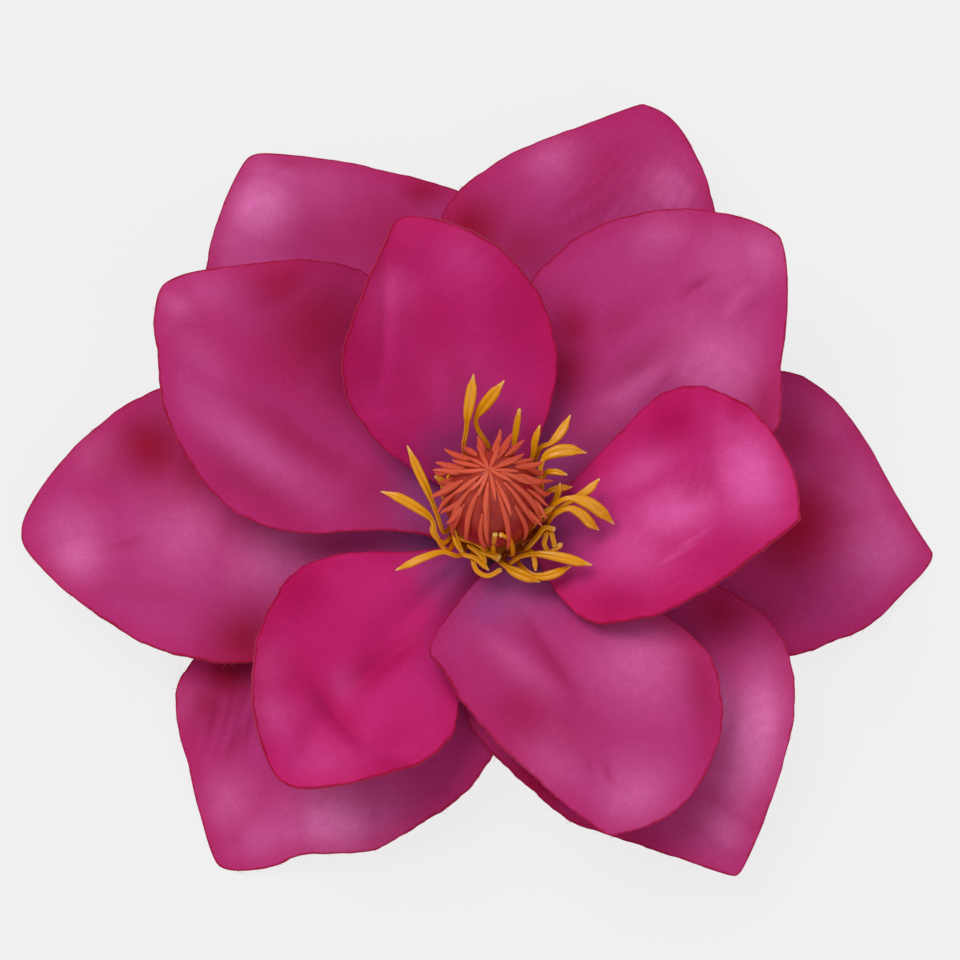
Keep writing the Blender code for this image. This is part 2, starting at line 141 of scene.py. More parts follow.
class Shader:
    """A Principled material that is put together from Python expressions."""

    def __init__(self, name: str, **constants: Any) -> None:
        """Starts the material, with values that are the same all over it.

        Args:
            name: The material's name.
            constants: Principled sockets by name, with _ for a space.
        """
        self.material = bpy.data.materials.new(name)
        self.material.use_nodes = True
        self.tree = self.material.node_tree
        self.surface = self.tree.nodes["Principled BSDF"]
        for socket, value in constants.items():
            self.surface.inputs[socket.replace("_", " ")].default_value = value

    def node(
        self,
        kind: str,
        settings: dict[str, Any] | None = None,
        inputs: dict[Any, Any] | None = None,
        output: int | str = 0,
    ) -> Value:
        """Any node, with its settings first and then its sockets.

        Args:
            kind: The node's type.
            settings: Its own properties by name.
            inputs: A number, a colour, a vector or a Value for each socket.
            output: Which output is wanted.

        Returns:
            That output.
        """
        made = self.tree.nodes.new(kind)
        for name, setting in (settings or {}).items():
            setattr(made, name, setting)
        for socket, value in (inputs or {}).items():
            if isinstance(value, Value):
                self.tree.links.new(value.socket, made.inputs[socket])
            else:
                made.inputs[socket].default_value = value
        return Value(self, made.outputs[output])

    def set(self, **values: Value) -> None:
        """Feeds Principled sockets, by name with _ for a space."""
        for socket, value in values.items():
            self.tree.links.new(value.socket, self.surface.inputs[socket.replace("_", " ")])

    def mix(self, share: Value, first: Colour | Value, second: Colour) -> Value:
        """A colour between two, with share of the second."""
        inputs = {0: share, 6: first, 7: second}
        return self.node("ShaderNodeMix", {"data_type": "RGBA"}, inputs, 2)

    def scaled(self, colour: Value, factor: Value) -> Value:
        """A colour times a number."""
        inputs = {0: colour, "Scale": factor}
        return self.node("ShaderNodeVectorMath", {"operation": "SCALE"}, inputs)

    def attribute(self, name: str) -> Value:
        """A number that the piece carries at each point."""
        return self.node("ShaderNodeAttribute", {"attribute_name": name}, output="Fac")

    def place(self) -> Value:
        """The point's place, in metres."""
        return self.node("ShaderNodeTexCoord", output="Object")

    def flat(self) -> Value:
        """The point's place on the flat cloth, in mm, from the piece's own UV map."""
        return self.node("ShaderNodeUVMap", {"uv_map": FLAT_MAP})

    def part(self, vector: Value, axis: str) -> Value:
        """One of X, Y and Z of a vector."""
        return self.node("ShaderNodeSeparateXYZ", None, {0: vector}, axis)

    def stretched(self, vector: Value, scale: tuple[float, float, float]) -> Value:
        """A vector times a scale for each axis."""
        return self.node("ShaderNodeMapping", None, {"Vector": vector, "Scale": scale})

    def noise(self, vector: Value, scale: float, detail: float = 2.0, rough: float = 0.5) -> Value:
        """Smooth noise from 0 to 1."""
        inputs = {"Vector": vector, "Scale": scale, "Detail": detail, "Roughness": rough}
        return self.node("ShaderNodeTexNoise", None, inputs)

    def bump(self, height: Value, depth: float, strength: float = 1.0) -> Value:
        """The normal of a surface with a height from 0 to 1 times a depth in metres."""
        inputs = {"Height": height, "Distance": depth, "Strength": strength}
        return self.node("ShaderNodeBump", None, inputs)


@dataclass
class Shell:
    """Closed surfaces as arrays.

    Attributes:
        points: Corners in metres, one a row.
        quads: Four corners a face.
        tris: Three corners a face.
        values: A number at each corner, by name.
        flat: Each corner's place on the flat cloth in mm, if it has one.
    """

    points: np.ndarray
    quads: np.ndarray
    tris: np.ndarray = field(default_factory=lambda: np.zeros((0, 3), int))
    values: dict[str, np.ndarray] = field(default_factory=dict)
    flat: np.ndarray | None = None

    def __add__(self, other: "Shell") -> "Shell":
        """Both shells in one.

        Args:
            other: A shell with the same names of values.

        Returns:
            A shell with both shells' corners, faces and values, and no flat places.
        """
        shift = len(self.points)
        return Shell(
            np.concatenate([self.points, other.points]),
            np.concatenate([self.quads, other.quads + shift]),
            np.concatenate([self.tris, other.tris + shift]),
            {n: np.concatenate([v, other.values[n]]) for n, v in self.values.items()},
        )

    def turned_by(self, matrix: Matrix) -> "Shell":
        """Moves and turns the shell.

        Args:
            matrix: A 4 by 4 move and turn.

        Returns:
            The same shell.
        """
        turn = np.array(matrix)
        self.points = self.points @ turn[:3, :3].T + turn[:3, 3]
        return self

    def piece(self, name: str, finish: Shader, slot: Slot, node: str | None = None) -> bpy.types.Object:
        """Makes the shell an object that rides on the bloom.

        Args:
            name: The object's name.
            finish: Its material.
            slot: The record's slot that the finish belongs to; not used.
            node: The solid that it stands for, if any.

        Returns:
            The object.
        """
        mesh = bpy.data.meshes.new(name)
        mesh.from_pydata(self.points.tolist(), [], self.quads.tolist() + self.tris.tolist())
        for value_name, value in self.values.items():
            layer = mesh.attributes.new(value_name, "FLOAT", "POINT")
            layer.data.foreach_set("value", value.astype(np.float32))
        if self.flat is not None:
            corners = np.zeros(len(mesh.loops), int)
            mesh.loops.foreach_get("vertex_index", corners)
            layer = mesh.uv_layers.new(name=FLAT_MAP)
            layer.data.foreach_set("uv", self.flat[corners].astype(np.float32).ravel())
        mesh.materials.append(finish.material)
        mesh.shade_smooth()
        mesh.update()
        obj = bpy.data.objects.new(name, mesh)
        bpy.context.scene.collection.objects.link(obj)
        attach(obj, BODY)
        if node:
            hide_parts(node)
        LOG.info("%s: %d faces", name, len(mesh.polygons))
        return obj


def unit(vectors: np.ndarray) -> np.ndarray:
    """Vectors at a length of 1, along the last axis."""
    return vectors / np.maximum(np.linalg.norm(vectors, axis=-1, keepdims=True), 1e-12)


def polar(radius: Any, azimuth: Any, height: Any) -> np.ndarray:
    """Points round the axis, at the cosine and the sine of the azimuth times the radius.

    Args:
        radius: Distances from the axis.
        azimuth: Azimuths, in degrees.
        height: Heights.

    Returns:
        The points, along a new last axis.
    """
    turn = np.radians(azimuth)
    parts = np.broadcast_arrays(radius * np.cos(turn), radius * np.sin(turn), height)
    return np.stack(parts, axis=-1)


def through(values: tuple[float, ...], t: np.ndarray) -> np.ndarray:
    """The polynomial that passes through values spread evenly from 0 to 1.

    Each value is weighted by the product of (t - other) / (own - other) over the other places.

    Args:
        values: What it passes through, in order.
        t: Where it is wanted.

    Returns:
        The polynomial at t.
    """
    places = np.linspace(0, 1, len(values))
    total = 0 * t
    for i, value in enumerate(values):
        others = np.delete(places, i)
        total = total + value * np.prod([(t - x) / (places[i] - x) for x in others], axis=0)
    return total


def grid_quads(rows: int, columns: int, closed: bool = False) -> np.ndarray:
    """The faces of a grid of corners that are numbered row by row.

    Args:
        rows: Rows of corners.
        columns: Corners in a row.
        closed: Whether the last column is joined to the first.

    Returns:
        Four corners a face, from a corner along the rows and then across.
    """
    across = np.arange(columns if closed else columns - 1)
    row, column = np.meshgrid(np.arange(rows - 1), across, indexing="ij")
    after = (column + 1) % columns
    corners = [row * columns + column, (row + 1) * columns + column]
    corners += [(row + 1) * columns + after, row * columns + after]
    return np.stack(corners, axis=-1).reshape(-1, 4)


def sheet(
    points: np.ndarray, thickness: float, values: dict[str, np.ndarray], flat: np.ndarray
) -> Shell:
    """A closed sheet: a grid's surface moved half the thickness along its normal to each side.

    Args:
        points: The middle surface, as rows by columns by 3, with the rows running outwards.
        thickness: The sheet's thickness, in metres.
        values: Numbers on the grid, by name.
        flat: The grid's places on the flat cloth.

    Returns:
        The upper face, the lower face and the wall round the rim.
    """
    rows, columns = points.shape[:2]
    normal = unit(np.cross(np.gradient(points, axis=0), np.gradient(points, axis=1)))
    upper = (points + normal * thickness / 2).reshape(-1, 3)
    lower = (points - normal * thickness / 2).reshape(-1, 3)
    number = np.arange(rows * columns).reshape(rows, columns)
    rim = np.concatenate(
        [number[:-1, 0], number[-1, :-1], number[:0:-1, -1], number[0, :0:-1]]
    )
    after = np.roll(rim, -1)
    count = rows * columns
    wall = np.stack([rim, rim + count, after + count, after], axis=1)
    top = grid_quads(rows, columns)
    quads = np.concatenate([top, top[:, ::-1] + count, wall])
    doubled = {name: np.tile(value.ravel(), 2) for name, value in values.items()}
    flat = np.tile(flat.reshape(-1, 2), (2, 1))
    return Shell(np.concatenate([upper, lower]), quads, values=doubled, flat=flat)


def rings(corners: np.ndarray, ends: np.ndarray, values: dict[str, np.ndarray]) -> Shell:
    """Closed tubes from rings of corners.

    Args:
        corners: Tubes by rings by sides by 3, each ring anticlockwise about the way on.
        ends: Tubes by 2 by 3, the middle of each end.
        values: Numbers for each ring of each tube, by name.

    Returns:
        The tubes' sides, with a fan on the middle of each end.
    """
    tubes, count, sides = corners.shape[:3]
    one = grid_quads(count, sides, closed=True)[:, ::-1]
    starts = np.arange(tubes)[:, None, None] * count * sides
    quads = (one[None] + starts).reshape(-1, 4)
    side = np.arange(sides)
    after = (side + 1) % sides
    last = (count - 1) * sides
    centre = tubes * count * sides + 2 * np.arange(tubes)[:, None]
    start = starts[:, 0]
    near = np.broadcast_arrays(centre, start + after, start + side)
    far = np.broadcast_arrays(centre + 1, start + last + side, start + last + after)
    tris = np.concatenate([np.stack(near, axis=-1), np.stack(far, axis=-1)]).reshape(-1, 3)
    points = np.concatenate([corners.reshape(-1, 3), ends.reshape(-1, 3)])
    full = {}
    for name, value in values.items():
        around = np.repeat(value[:, :, None], sides, axis=2).ravel()
        full[name] = np.concatenate([around, value[:, [0, -1]].ravel()])
    return Shell(points, quads, tris, full)


# How far round a tube its groove spreads, in radians.
GROOVE_ANGLE = 0.42


def tubes(
    paths: np.ndarray,
    half_widths: np.ndarray,
    half_depths: np.ndarray,
    upward: np.ndarray,
    sides: int,
    groove: float,
    values: dict[str, np.ndarray],
) -> Shell:
    """Tubes of an oval section along many paths at once.

    A ring's corner is at cos(angle) of the half-width to the side and sin(angle) of the
    half-depth upwards, less the groove's share of it times a Gaussian round the top.

    Args:
        paths: Tubes by points by 3, in metres.
        half_widths: Tubes by points, sideways.
        half_depths: Tubes by points, upwards.
        upward: Tubes by points by 3, roughly up off the path.
        sides: Corners in a ring.
        groove: The share of the half-depth that the groove takes.
        values: Numbers for each point of each path, by name.

    Returns:
        The closed tubes.
    """
    heading = unit(np.gradient(paths, axis=1))
    lean = np.sum(upward * heading, axis=-1, keepdims=True)
    normal = unit(upward - lean * heading)
    sideways = np.cross(normal, heading)
    angle = np.linspace(0, 2 * np.pi, sides, endpoint=False)
    cut = 1 - groove * np.exp(-(((angle - np.pi / 2) / GROOVE_ANGLE) ** 2))
    wide = half_widths[..., None, None] * np.cos(angle)[:, None] * sideways[:, :, None]
    deep = half_depths[..., None, None] * (np.sin(angle) * cut)[:, None] * normal[:, :, None]
    return rings(paths[:, :, None] + wide + deep, paths[:, [0, -1]], values)


def lathe(profile: np.ndarray, sides: int, values: dict[str, np.ndarray]) -> Shell:
    """A solid turned round +Z.

    Args:
        profile: Radius and height of each ring, from the top down the outside.
        sides: Corners in a ring.
        values: Numbers for each ring, by name.

    Returns:
        The solid, closed at both ends.
    """
    angle = -np.linspace(0, 2 * np.pi, sides, endpoint=False)
    radius, height = profile[:, 0, None], profile[:, 1, None]
    corners = np.stack([radius * np.cos(angle), radius * np.sin(angle), height + 0 * angle], axis=-1)
    ends = np.zeros((1, 2, 3))
    ends[0, :, 2] = profile[[0, -1], 1]
    return rings(corners[None], ends, {name: value[None] for name, value in values.items()})


@dataclass(frozen=True)
class Cloth:
    """The finish of the petals: dyed, pressed cloth with an airbrushed root and a dark edge.

    Attributes:
        slot: The record's slot.
        body: The dye over most of the petal.
        hot: The redder dye that drifts through it.
        bloom: The paler lilac of painted highlights and sheen, and of paler dye patches.
        shade: The crimson of painted shade in creases and under and between petals, and of deeper dye
            patches.
        root: The purple near the middle of the flower.
        edge: The dark line where the cloth was cut.
        thread_x: The spacing of threads across the petal, in mm.
        thread_y: The spacing of threads along it, in mm.
        root_start: How far from the axis the purple is full, in mm.
        root_reach: How far from the axis it reaches, in mm.
        root_share: How strong it is.
        hot_share: How strong the redder dye is where it drifts.
        rim_reach: How far from the edge the redder dye is stronger, in mm.
        rim_share: How strong it is at the edge.
        line_reach: How wide the dark line is, in mm.
        drift: The scale of the noise that the dyes drift by, in waves a metre.
        mottle: The scale of the noise of small patches.
        nap: The scale of the noise of single fibres.
        relief: The depth of the nap and weave, in mm.
    """

    slot: Slot
    body: Colour
    hot: Colour
    bloom: Colour
    shade: Colour
    root: Colour
    edge: Colour
    thread_x: float = 0.33
    thread_y: float = 0.42
    root_start: float = 6.0
    root_reach: float = 20.0
    root_share: float = 0.82
    hot_share: float = 0.4
    rim_reach: float = 3.6
    rim_share: float = 0.42
    line_reach: float = 0.4
    drift: float = 70.0
    mottle: float = 520.0
    nap: float = 2600.0
    relief: float = 0.05

    def shader(self) -> Shader:
        """The cloth's material.

        The dyes are mixed by drifting noise, by the painted highlight and sheen and the painted
        shade (both partly dye), and by the distances from the axis and the edge. The weave, the
        patches and the fibres then lighten and raise it a little.

        Returns:
            The material, which reads the attributes edge, hub, glow and flush.
        """
        cloth = Shader(
            self.slot.value,
            Roughness=0.6,
            Specular_IOR_Level=0.07,
            Sheen_Weight=0.07,
            Sheen_Roughness=0.5,
            Sheen_Tint=(1.0, 0.75, 0.95, 1.0),
        )
        place, flat = cloth.place(), cloth.flat()
        drift = cloth.noise(place, self.drift, 2.0)
        mottle = cloth.noise(place, self.mottle, 3.0, 0.6)
        nap = cloth.noise(place, self.nap, 2.0, 0.6)
        edge = cloth.attribute("edge")
        colour = cloth.mix(drift.rise(0.35, 0.72) * self.hot_share, self.body, self.hot)
        # Painted highlight and sheen, partly paler dye, go towards the pale lilac; painted shade, partly
        # darker dye, goes towards the crimson.
        sheen_and_pale_dye = cloth.attribute("sheen_and_pale_dye") * (0.7 + mottle * 0.6)
        colour = cloth.mix(sheen_and_pale_dye, colour, self.bloom)
        colour = cloth.mix(cloth.attribute("shade_and_dark_dye"), colour, self.shade)
        reach = cloth.attribute("hub") + (drift - 0.5) * 9
        purple = reach.fall(self.root_start, self.root_reach) * self.root_share
        colour = cloth.mix(purple, colour, self.root)
        rim = edge + (drift - 0.5) * 1.4
        colour = cloth.mix(rim.fall(0.2, self.rim_reach) * self.rim_share, colour, self.hot)
        line = edge + (mottle - 0.5) * 0.5
        dark = line.fall(0.06, self.line_reach) * (1.2 - drift * 0.8)
        colour = cloth.mix(dark, colour, self.edge)
        weave = self.weave(cloth, flat)
        grain = 0.8 + weave * 0.022 + mottle * 0.1 + nap * 0.32
        cloth.set(Base_Color=cloth.scaled(colour, grain))
        height = weave * 0.2 + nap + mottle * 1.5
        cloth.set(Normal=cloth.bump(height, self.relief * MM, 0.5))
        return cloth

    def weave(self, cloth: Shader, flat: Value) -> Value:
        """The threads' height: the product of two sines on the flat cloth, which wander.

        Args:
            cloth: The material that it is worked out in.
            flat: The point's place on the flat cloth, in mm.

        Returns:
            A height from -1 to 1.
        """
        wander = cloth.noise(flat, 0.35, 2.0)
        across = cloth.part(flat, "X") + wander * 0.8
        along = cloth.part(flat, "Y") + wander * 0.6
        threads_x = (across * (2 * math.pi / self.thread_x)).sine()
        threads_y = (along * (2 * math.pi / self.thread_y)).sine()
        return threads_x * threads_y


OUTER_CLOTH = Cloth(
    Slot.PETAL,
    body=linear(172, 48, 116),
    hot=linear(170, 20, 84),
    bloom=linear(212, 106, 168),
    shade=linear(142, 4, 46),
    root=linear(134, 66, 128),
    edge=linear(150, 2, 44),
)
INNER_CLOTH = Cloth(
    Slot.INNER_PETAL,
    body=linear(186, 34, 112),
    hot=linear(182, 12, 80),
    bloom=linear(214, 90, 162),
    shade=linear(168, 6, 80),
    root=linear(134, 60, 122),
    edge=linear(156, 2, 48),
    root_reach=16.5,
)


@dataclass(frozen=True)
class Side:
    """One side of a petal, from its midline to its edge. Lengths are in mm.

    Attributes:
        width: The half-width at its widest.
        peak: How far along the petal that is.
        base: The power of the curve that leads up to it.
        tip: The power of the curve that leads away from it.
        lift: The edge's height over the midline at the root, a third, two thirds and the tip.
        swells: (size, place, spread) waves in the outline.
    """

    width: float
    peak: float
    base: float
    tip: float
    lift: tuple[float, ...] = (0, 0, 0, 0)
    swells: tuple[tuple[float, float, float], ...] = ()


@dataclass(frozen=True)
class Fold:
    """A crease pressed into a petal between two places (part along, part across).

    Attributes:
        start: One end.
        end: The other end.
        height: How high it stands, or how deep if below 0, in mm.
        spread: How far its flanks reach, in mm.
    """

    start: Spot
    end: Spot
    height: float
    spread: float


@dataclass(frozen=True)
class Pleats:
    """A patch of fine parallel pleats on a petal.

    Attributes:
        place: The patch's middle (part along, part across).
        reach: How far the patch spreads, in mm.
        spacing: From crest to crest, in mm.
        turn: The pleats' run, in degrees from the petal's length towards its left side.
        height: Their height, in mm.
    """

    place: Spot
    reach: float
    spacing: float
    turn: float
    height: float


@dataclass(frozen=True)
class Dab:
    """A soft patch or streak of painted highlight and sheen or of painted shade, each partly dye.

    Attributes:
        place: Its middle, or a streak's start (part along, part across).
        reach: How far it spreads, in mm.
        strength: How strong it is in the middle.
        end: The other end of a streak.
    """

    place: Spot
    reach: float
    strength: float
    end: Spot | None = None


# The cloth's thickness in metres, and the forms that all petals share, with lengths in mm and
# reaches and spreads as parts of the length or the half-width.
CLOTH = 0.4 * MM
ROOT_RADIUS = 5.0
CLAW_HALF_WIDTH = 3.0
KEEL_SPREAD = 0.22
TIP_REACH = 0.2
ROWS = 150
COLUMNS = 84

# The small waves of the cut in plan and of the rim in height: how many there are along a petal,
# how large they are, and the part of the length over which they grow.
EDGE_WAVES = (5.0, 11.0, 23.0, 41.0)
EDGE_WAVE_SIZES = (0.08, 0.06, 0.035, 0.02)
EDGE_WAVES_GROW = 0.3
RIM_WAVES = (3.0, 5.0, 9.0)
RIM_WAVE_SIZES = (0.16, 0.12, 0.05)
RIM_WAVES_GROW = 0.4

# Folds and pleats grow over a quarter of the length. A pleat wanders by up to this many radians.
RELIEF_GROWS = 0.25
PLEAT_WANDER = 1.4

# How much of a fold's or a streak's sine is left out at each end.
FOLD_END = 0.08
STREAK_END = 0.12


def tapered(share: np.ndarray, end: float) -> np.ndarray:
    """The sine of half a turn over the share, with a part of it left out at each end."""
    return np.sin(np.pi * (end + (1 - 2 * end) * share))


@dataclass(frozen=True)
class Petal:
    """A petal: the azimuths of its root and tip in degrees, and its lengths in mm.

    Attributes:
        name: The solid that it stands for.
        root: The azimuth of its root.
        tip: The azimuth of its tip.
        reach: From the axis to the tip.
        bow: The midline's swing to the left of its chord.
        nose: How round the tip is.
        heights: The midline's at the root, a third, two thirds and the tip.
        left: Its left side, seen from the root.
        right: Its right side.
        keel: The depth of the fold along the midline.
        rests: Whether it lies on the surface.
        cloth: Its finish.
        folds: Its creases.
        pleats: Its patches of pleats.
        sheens_and_pale_dyes: Its paler patches.
        shades_and_dark_dyes: Its redder patches.
    """

    name: str
    root: float
    tip: float
    reach: float
    bow: float
    nose: float
    heights: tuple[float, ...]
    left: Side
    right: Side
    keel: float = 0.0
    rests: bool = False
    cloth: Cloth = OUTER_CLOTH
    folds: tuple[Fold, ...] = ()
    pleats: tuple[Pleats, ...] = ()
    # glows: Its painted highlights and sheen, partly paler dye. flushes: Its painted shade in creases and
    # under other petals, partly darker dye.
    sheens_and_pale_dyes: tuple[Dab, ...] = ()
    shades_and_dark_dyes: tuple[Dab, ...] = ()

    def draw(self) -> np.random.Generator:
        """The petal's own random numbers, seeded by its name."""
        return np.random.default_rng(sum(self.name.encode()))

    def length(self) -> float:
        """The petal's length in plan, in mm."""
        return self.reach - ROOT_RADIUS

    @staticmethod
    def ripple(
        along: np.ndarray, waves: tuple[float, ...], sizes: tuple[float, ...], phases: np.ndarray
    ) -> np.ndarray:
        """A sum of sines along the petal."""
        angle = 2 * np.pi * np.multiply.outer(along, np.array(waves)) + phases
        return np.sin(angle) @ np.array(sizes)

    @staticmethod
    def tip_fade(along: np.ndarray) -> np.ndarray:
        """1 along most of the petal, and over the last TIP_REACH of it down to 0 at the tip."""
        return np.sin(np.pi / 2 * np.clip((1 - along) / TIP_REACH, 0, 1))

    def half_width(self, side: Side, along: np.ndarray, phases: np.ndarray) -> np.ndarray:
        """The distance from midline to edge, in mm.

        It rises from the claw to the peak as a power of a sine and falls to the rounded tip as
        another, with the side's swells and the cut's small waves added.

        Args:
            side: The petal's left or right side.
            along: 0 at the root to 1 at the tip.
            phases: The phases of the cut's waves.

        Returns:
            The half-width at each place.
        """
        rise = np.sin(np.pi / 2 * np.clip(along / side.peak, 0, 1)) ** side.base
        rest = np.clip((1 - along) / (1 - side.peak), 0, 1)
        rounded = np.sqrt((rest**2 + 2 * self.nose * rest) / (1 + 2 * self.nose))
        fall = np.sin(np.pi / 2 * rounded) ** side.tip
        growth = CLAW_HALF_WIDTH + (side.width - CLAW_HALF_WIDTH) * rise
        width = np.where(along < side.peak, growth, side.width * fall)
        fade = self.tip_fade(along)
        for size, place, spread in side.swells:
            width = width + size * np.exp(-(((along - place) / spread) ** 2)) * fade
        cut = self.ripple(along, EDGE_WAVES, EDGE_WAVE_SIZES, phases)
        return width + cut * fade * np.clip(along / EDGE_WAVES_GROW, 0, 1)

    def flat_places(self, along: np.ndarray, across: np.ndarray, width: np.ndarray) -> np.ndarray:
        """Places on the flat cloth, in mm: across * width to the left, and length * along."""
        return np.stack([across * width, along * self.length()], axis=-1)

    def spot(self, place: Spot) -> np.ndarray:
        """Where a spot is on the flat cloth.

        Args:
            place: Its parts along and across.

        Returns:
            Its distances to the left and along, in mm.
        """
        along = np.array([place[0]])
        side = self.left if place[1] >= 0 else self.right
        width = self.half_width(side, along, np.zeros(len(EDGE_WAVES)))
        return self.flat_places(along, np.array([place[1]]), width)[0]

    def off_line(self, flat: np.ndarray, start: Spot, end: Spot) -> tuple[np.ndarray, np.ndarray]:
        """How far places lie from a line, in mm, and at which share of its length.

        Args:
            flat: Places on the flat cloth.
            start: The line's start.
            end: Its end.

        Returns:
            The distances and the shares.
        """
        first, last = self.spot(start), self.spot(end)
        run = last - first
        share = np.clip((flat - first) @ run / (run @ run), 0, 1)
        return np.linalg.norm(flat - first - share[..., None] * run, axis=-1), share

    def relief(self, flat: np.ndarray) -> np.ndarray:
        """The height of the folds and pleats, in mm.

        A fold is a Gaussian of the distance to its line. Pleats are a wandering sine across
        their run, under a Gaussian of the distance to the patch's middle.

        Args:
            flat: Places on the flat cloth.

        Returns:
            The height at each place.
        """
        height = np.zeros(flat.shape[:-1])
        for fold in self.folds:
            gap, share = self.off_line(flat, fold.start, fold.end)
            height = height + fold.height * tapered(share, FOLD_END) * np.exp(
                -((gap / fold.spread) ** 2))
        for patch in self.pleats:
            offset = flat - self.spot(patch.place)
            turn = math.radians(patch.turn)
            over = offset @ np.array([math.cos(turn), -math.sin(turn)])
            wander = PLEAT_WANDER * np.sin(0.8 * over + 0.3 * offset[..., 1])
            wave = np.sin(2 * np.pi * over / patch.spacing + wander)
            near = np.exp(-((np.linalg.norm(offset, axis=-1) / patch.reach) ** 2))
            height = height + patch.height * wave * near
        return height

    def surface(self, along: np.ndarray, across: np.ndarray) -> tuple[np.ndarray, np.ndarray]:
        """The petal's middle surface.

        The midline is a quadratic curve in plan from root to tip, bowed to its left, and the
        width is laid off square to it. The height is the midline's, plus the edges' lift by
        the square of across, less the keel, plus the relief and the rim's waves.

        Args:
            along: 0 at the root to 1 at the tip, rows by columns.
            across: -1 at the right edge to 1 at the left.

        Returns:
            Points round the receptacle's axis and places on the flat cloth, both in mm.
        """
        draw = self.draw()
        start = polar(ROOT_RADIUS, self.root, 0.0)[:2]
        end = polar(self.reach, self.tip, 0.0)[:2]
        chord = (end - start) / np.linalg.norm(end - start)
        middle = (start + end) / 2 + 2 * self.bow * np.array([-chord[1], chord[0]])
        t = along[..., None]
        midline = (1 - t) ** 2 * start + 2 * t * (1 - t) * middle + t**2 * end
        heading = unit(2 * (1 - t) * (middle - start) + 2 * t * (end - middle))
        leftward = np.stack([-heading[..., 1], heading[..., 0]], axis=-1)
        phases = draw.uniform(0, 2 * np.pi, (4, len(EDGE_WAVES)))
        left = self.half_width(self.left, along, phases[0])
        right = self.half_width(self.right, along, phases[1])
        width = np.where(across >= 0, left, right)
        plan = midline + leftward * (across * width)[..., None]
        fade = self.tip_fade(along)
        left_lift = through(self.left.lift, along) * fade
        right_lift = through(self.right.lift, along) * fade
        height = through(self.heights, along)
        height = height + (left_lift + right_lift) / 2 * across**2
        height = height + (left_lift - right_lift) / 2 * across
        keel = np.exp(-((across / KEEL_SPREAD) ** 2)) * np.sin(np.pi * along)
        flat = self.flat_places(along, across, width)
        rim_phases = np.where(across[..., None] >= 0, phases[2, :3], phases[3, :3])
        rim = self.ripple(along, RIM_WAVES, RIM_WAVE_SIZES, rim_phases)
        grown = np.sqrt(np.clip(along / RELIEF_GROWS, 0, 1))
        height = height - self.keel * keel + self.relief(flat) * grown
        height = height + rim * np.abs(across) ** 3 * fade * np.clip(along / RIM_WAVES_GROW, 0, 1)
        return np.concatenate([plan, height[..., None]], axis=-1), flat

    def painted(self, dabs: tuple[Dab, ...], flat: np.ndarray) -> np.ndarray:
        """The strength of the painted patches of highlight and sheen or of shade, partly dye: the
        largest of their Gaussians.

        A streak is a Gaussian of the distance to its line, which fades towards both ends.

        Args:
            dabs: The patches and streaks.
            flat: Places on the flat cloth.

        Returns:
            The strength at each place.
        """
        strength = np.zeros(flat.shape[:-1])
        for dab in dabs:
            if dab.end:
                gap, share = self.off_line(flat, dab.place, dab.end)
                full = dab.strength * tapered(share, STREAK_END)
            else:
                gap = np.linalg.norm(flat - self.spot(dab.place), axis=-1)
                full = dab.strength
            strength = np.maximum(strength, full * np.exp(-((gap / dab.reach) ** 2)))
        return strength

    def grid(self) -> tuple[np.ndarray, np.ndarray]:
        """The petal's own coordinates on a grid, closer near the tip and the edges.

        Returns:
            The parts along and across, each as rows by columns.
        """
        rows = np.sin(np.linspace(0, 1, ROWS + 1)[:-1] * np.pi / 2)
        columns = np.sin(np.linspace(-1, 1, COLUMNS) * np.pi / 2)
        return np.meshgrid(rows, columns, indexing="ij")

    def drop(self) -> float:
        """How far the petal comes down to rest on the surface, in metres."""
        lowest = self.surface(*self.grid())[0][..., 2].min() * MM - CLOTH / 2
        return lowest if self.rests else 0.0

    def build(self, finish: Shader, axis: np.ndarray) -> bpy.types.Object:
        """Makes the petal.

        Args:
            finish: Its cloth.
            axis: Where the receptacle's axis meets the surface, in metres.

        Returns:
            The petal, with the distances and patches that its finish reads.
        """
        along, across = self.grid()
        points, flat = self.surface(along, across)
        rim = np.concatenate([points[:, 0], points[-1], points[::-1, -1]])
        # Besides the distances, the petal carries the strengths of its painted highlight and sheen and of
        # its painted shade, each partly dye.
        values = {
            "edge": self.nearest(points, rim),
            "hub": np.linalg.norm(points[..., :2], axis=-1),
            "sheen_and_pale_dye": self.painted(self.sheens_and_pale_dyes, flat),
            "shade_and_dark_dye": self.painted(self.shades_and_dark_dyes, flat),
        }
        shell = sheet(points * MM, CLOTH, values, flat)
        shell.points += axis - np.array([0, 0, self.drop()])
        return shell.piece(self.name + "_cloth", finish, self.cloth.slot, self.name)

    @staticmethod
    def nearest(points: np.ndarray, rim: np.ndarray) -> np.ndarray:
        """The distance of each point to the nearest of the rim's points."""
        squares = np.sum(points**2, axis=-1)[..., None] + np.sum(rim**2, axis=-1)
        return np.sqrt(np.maximum(squares - 2 * points @ rim.T, 0)).min(axis=-1)
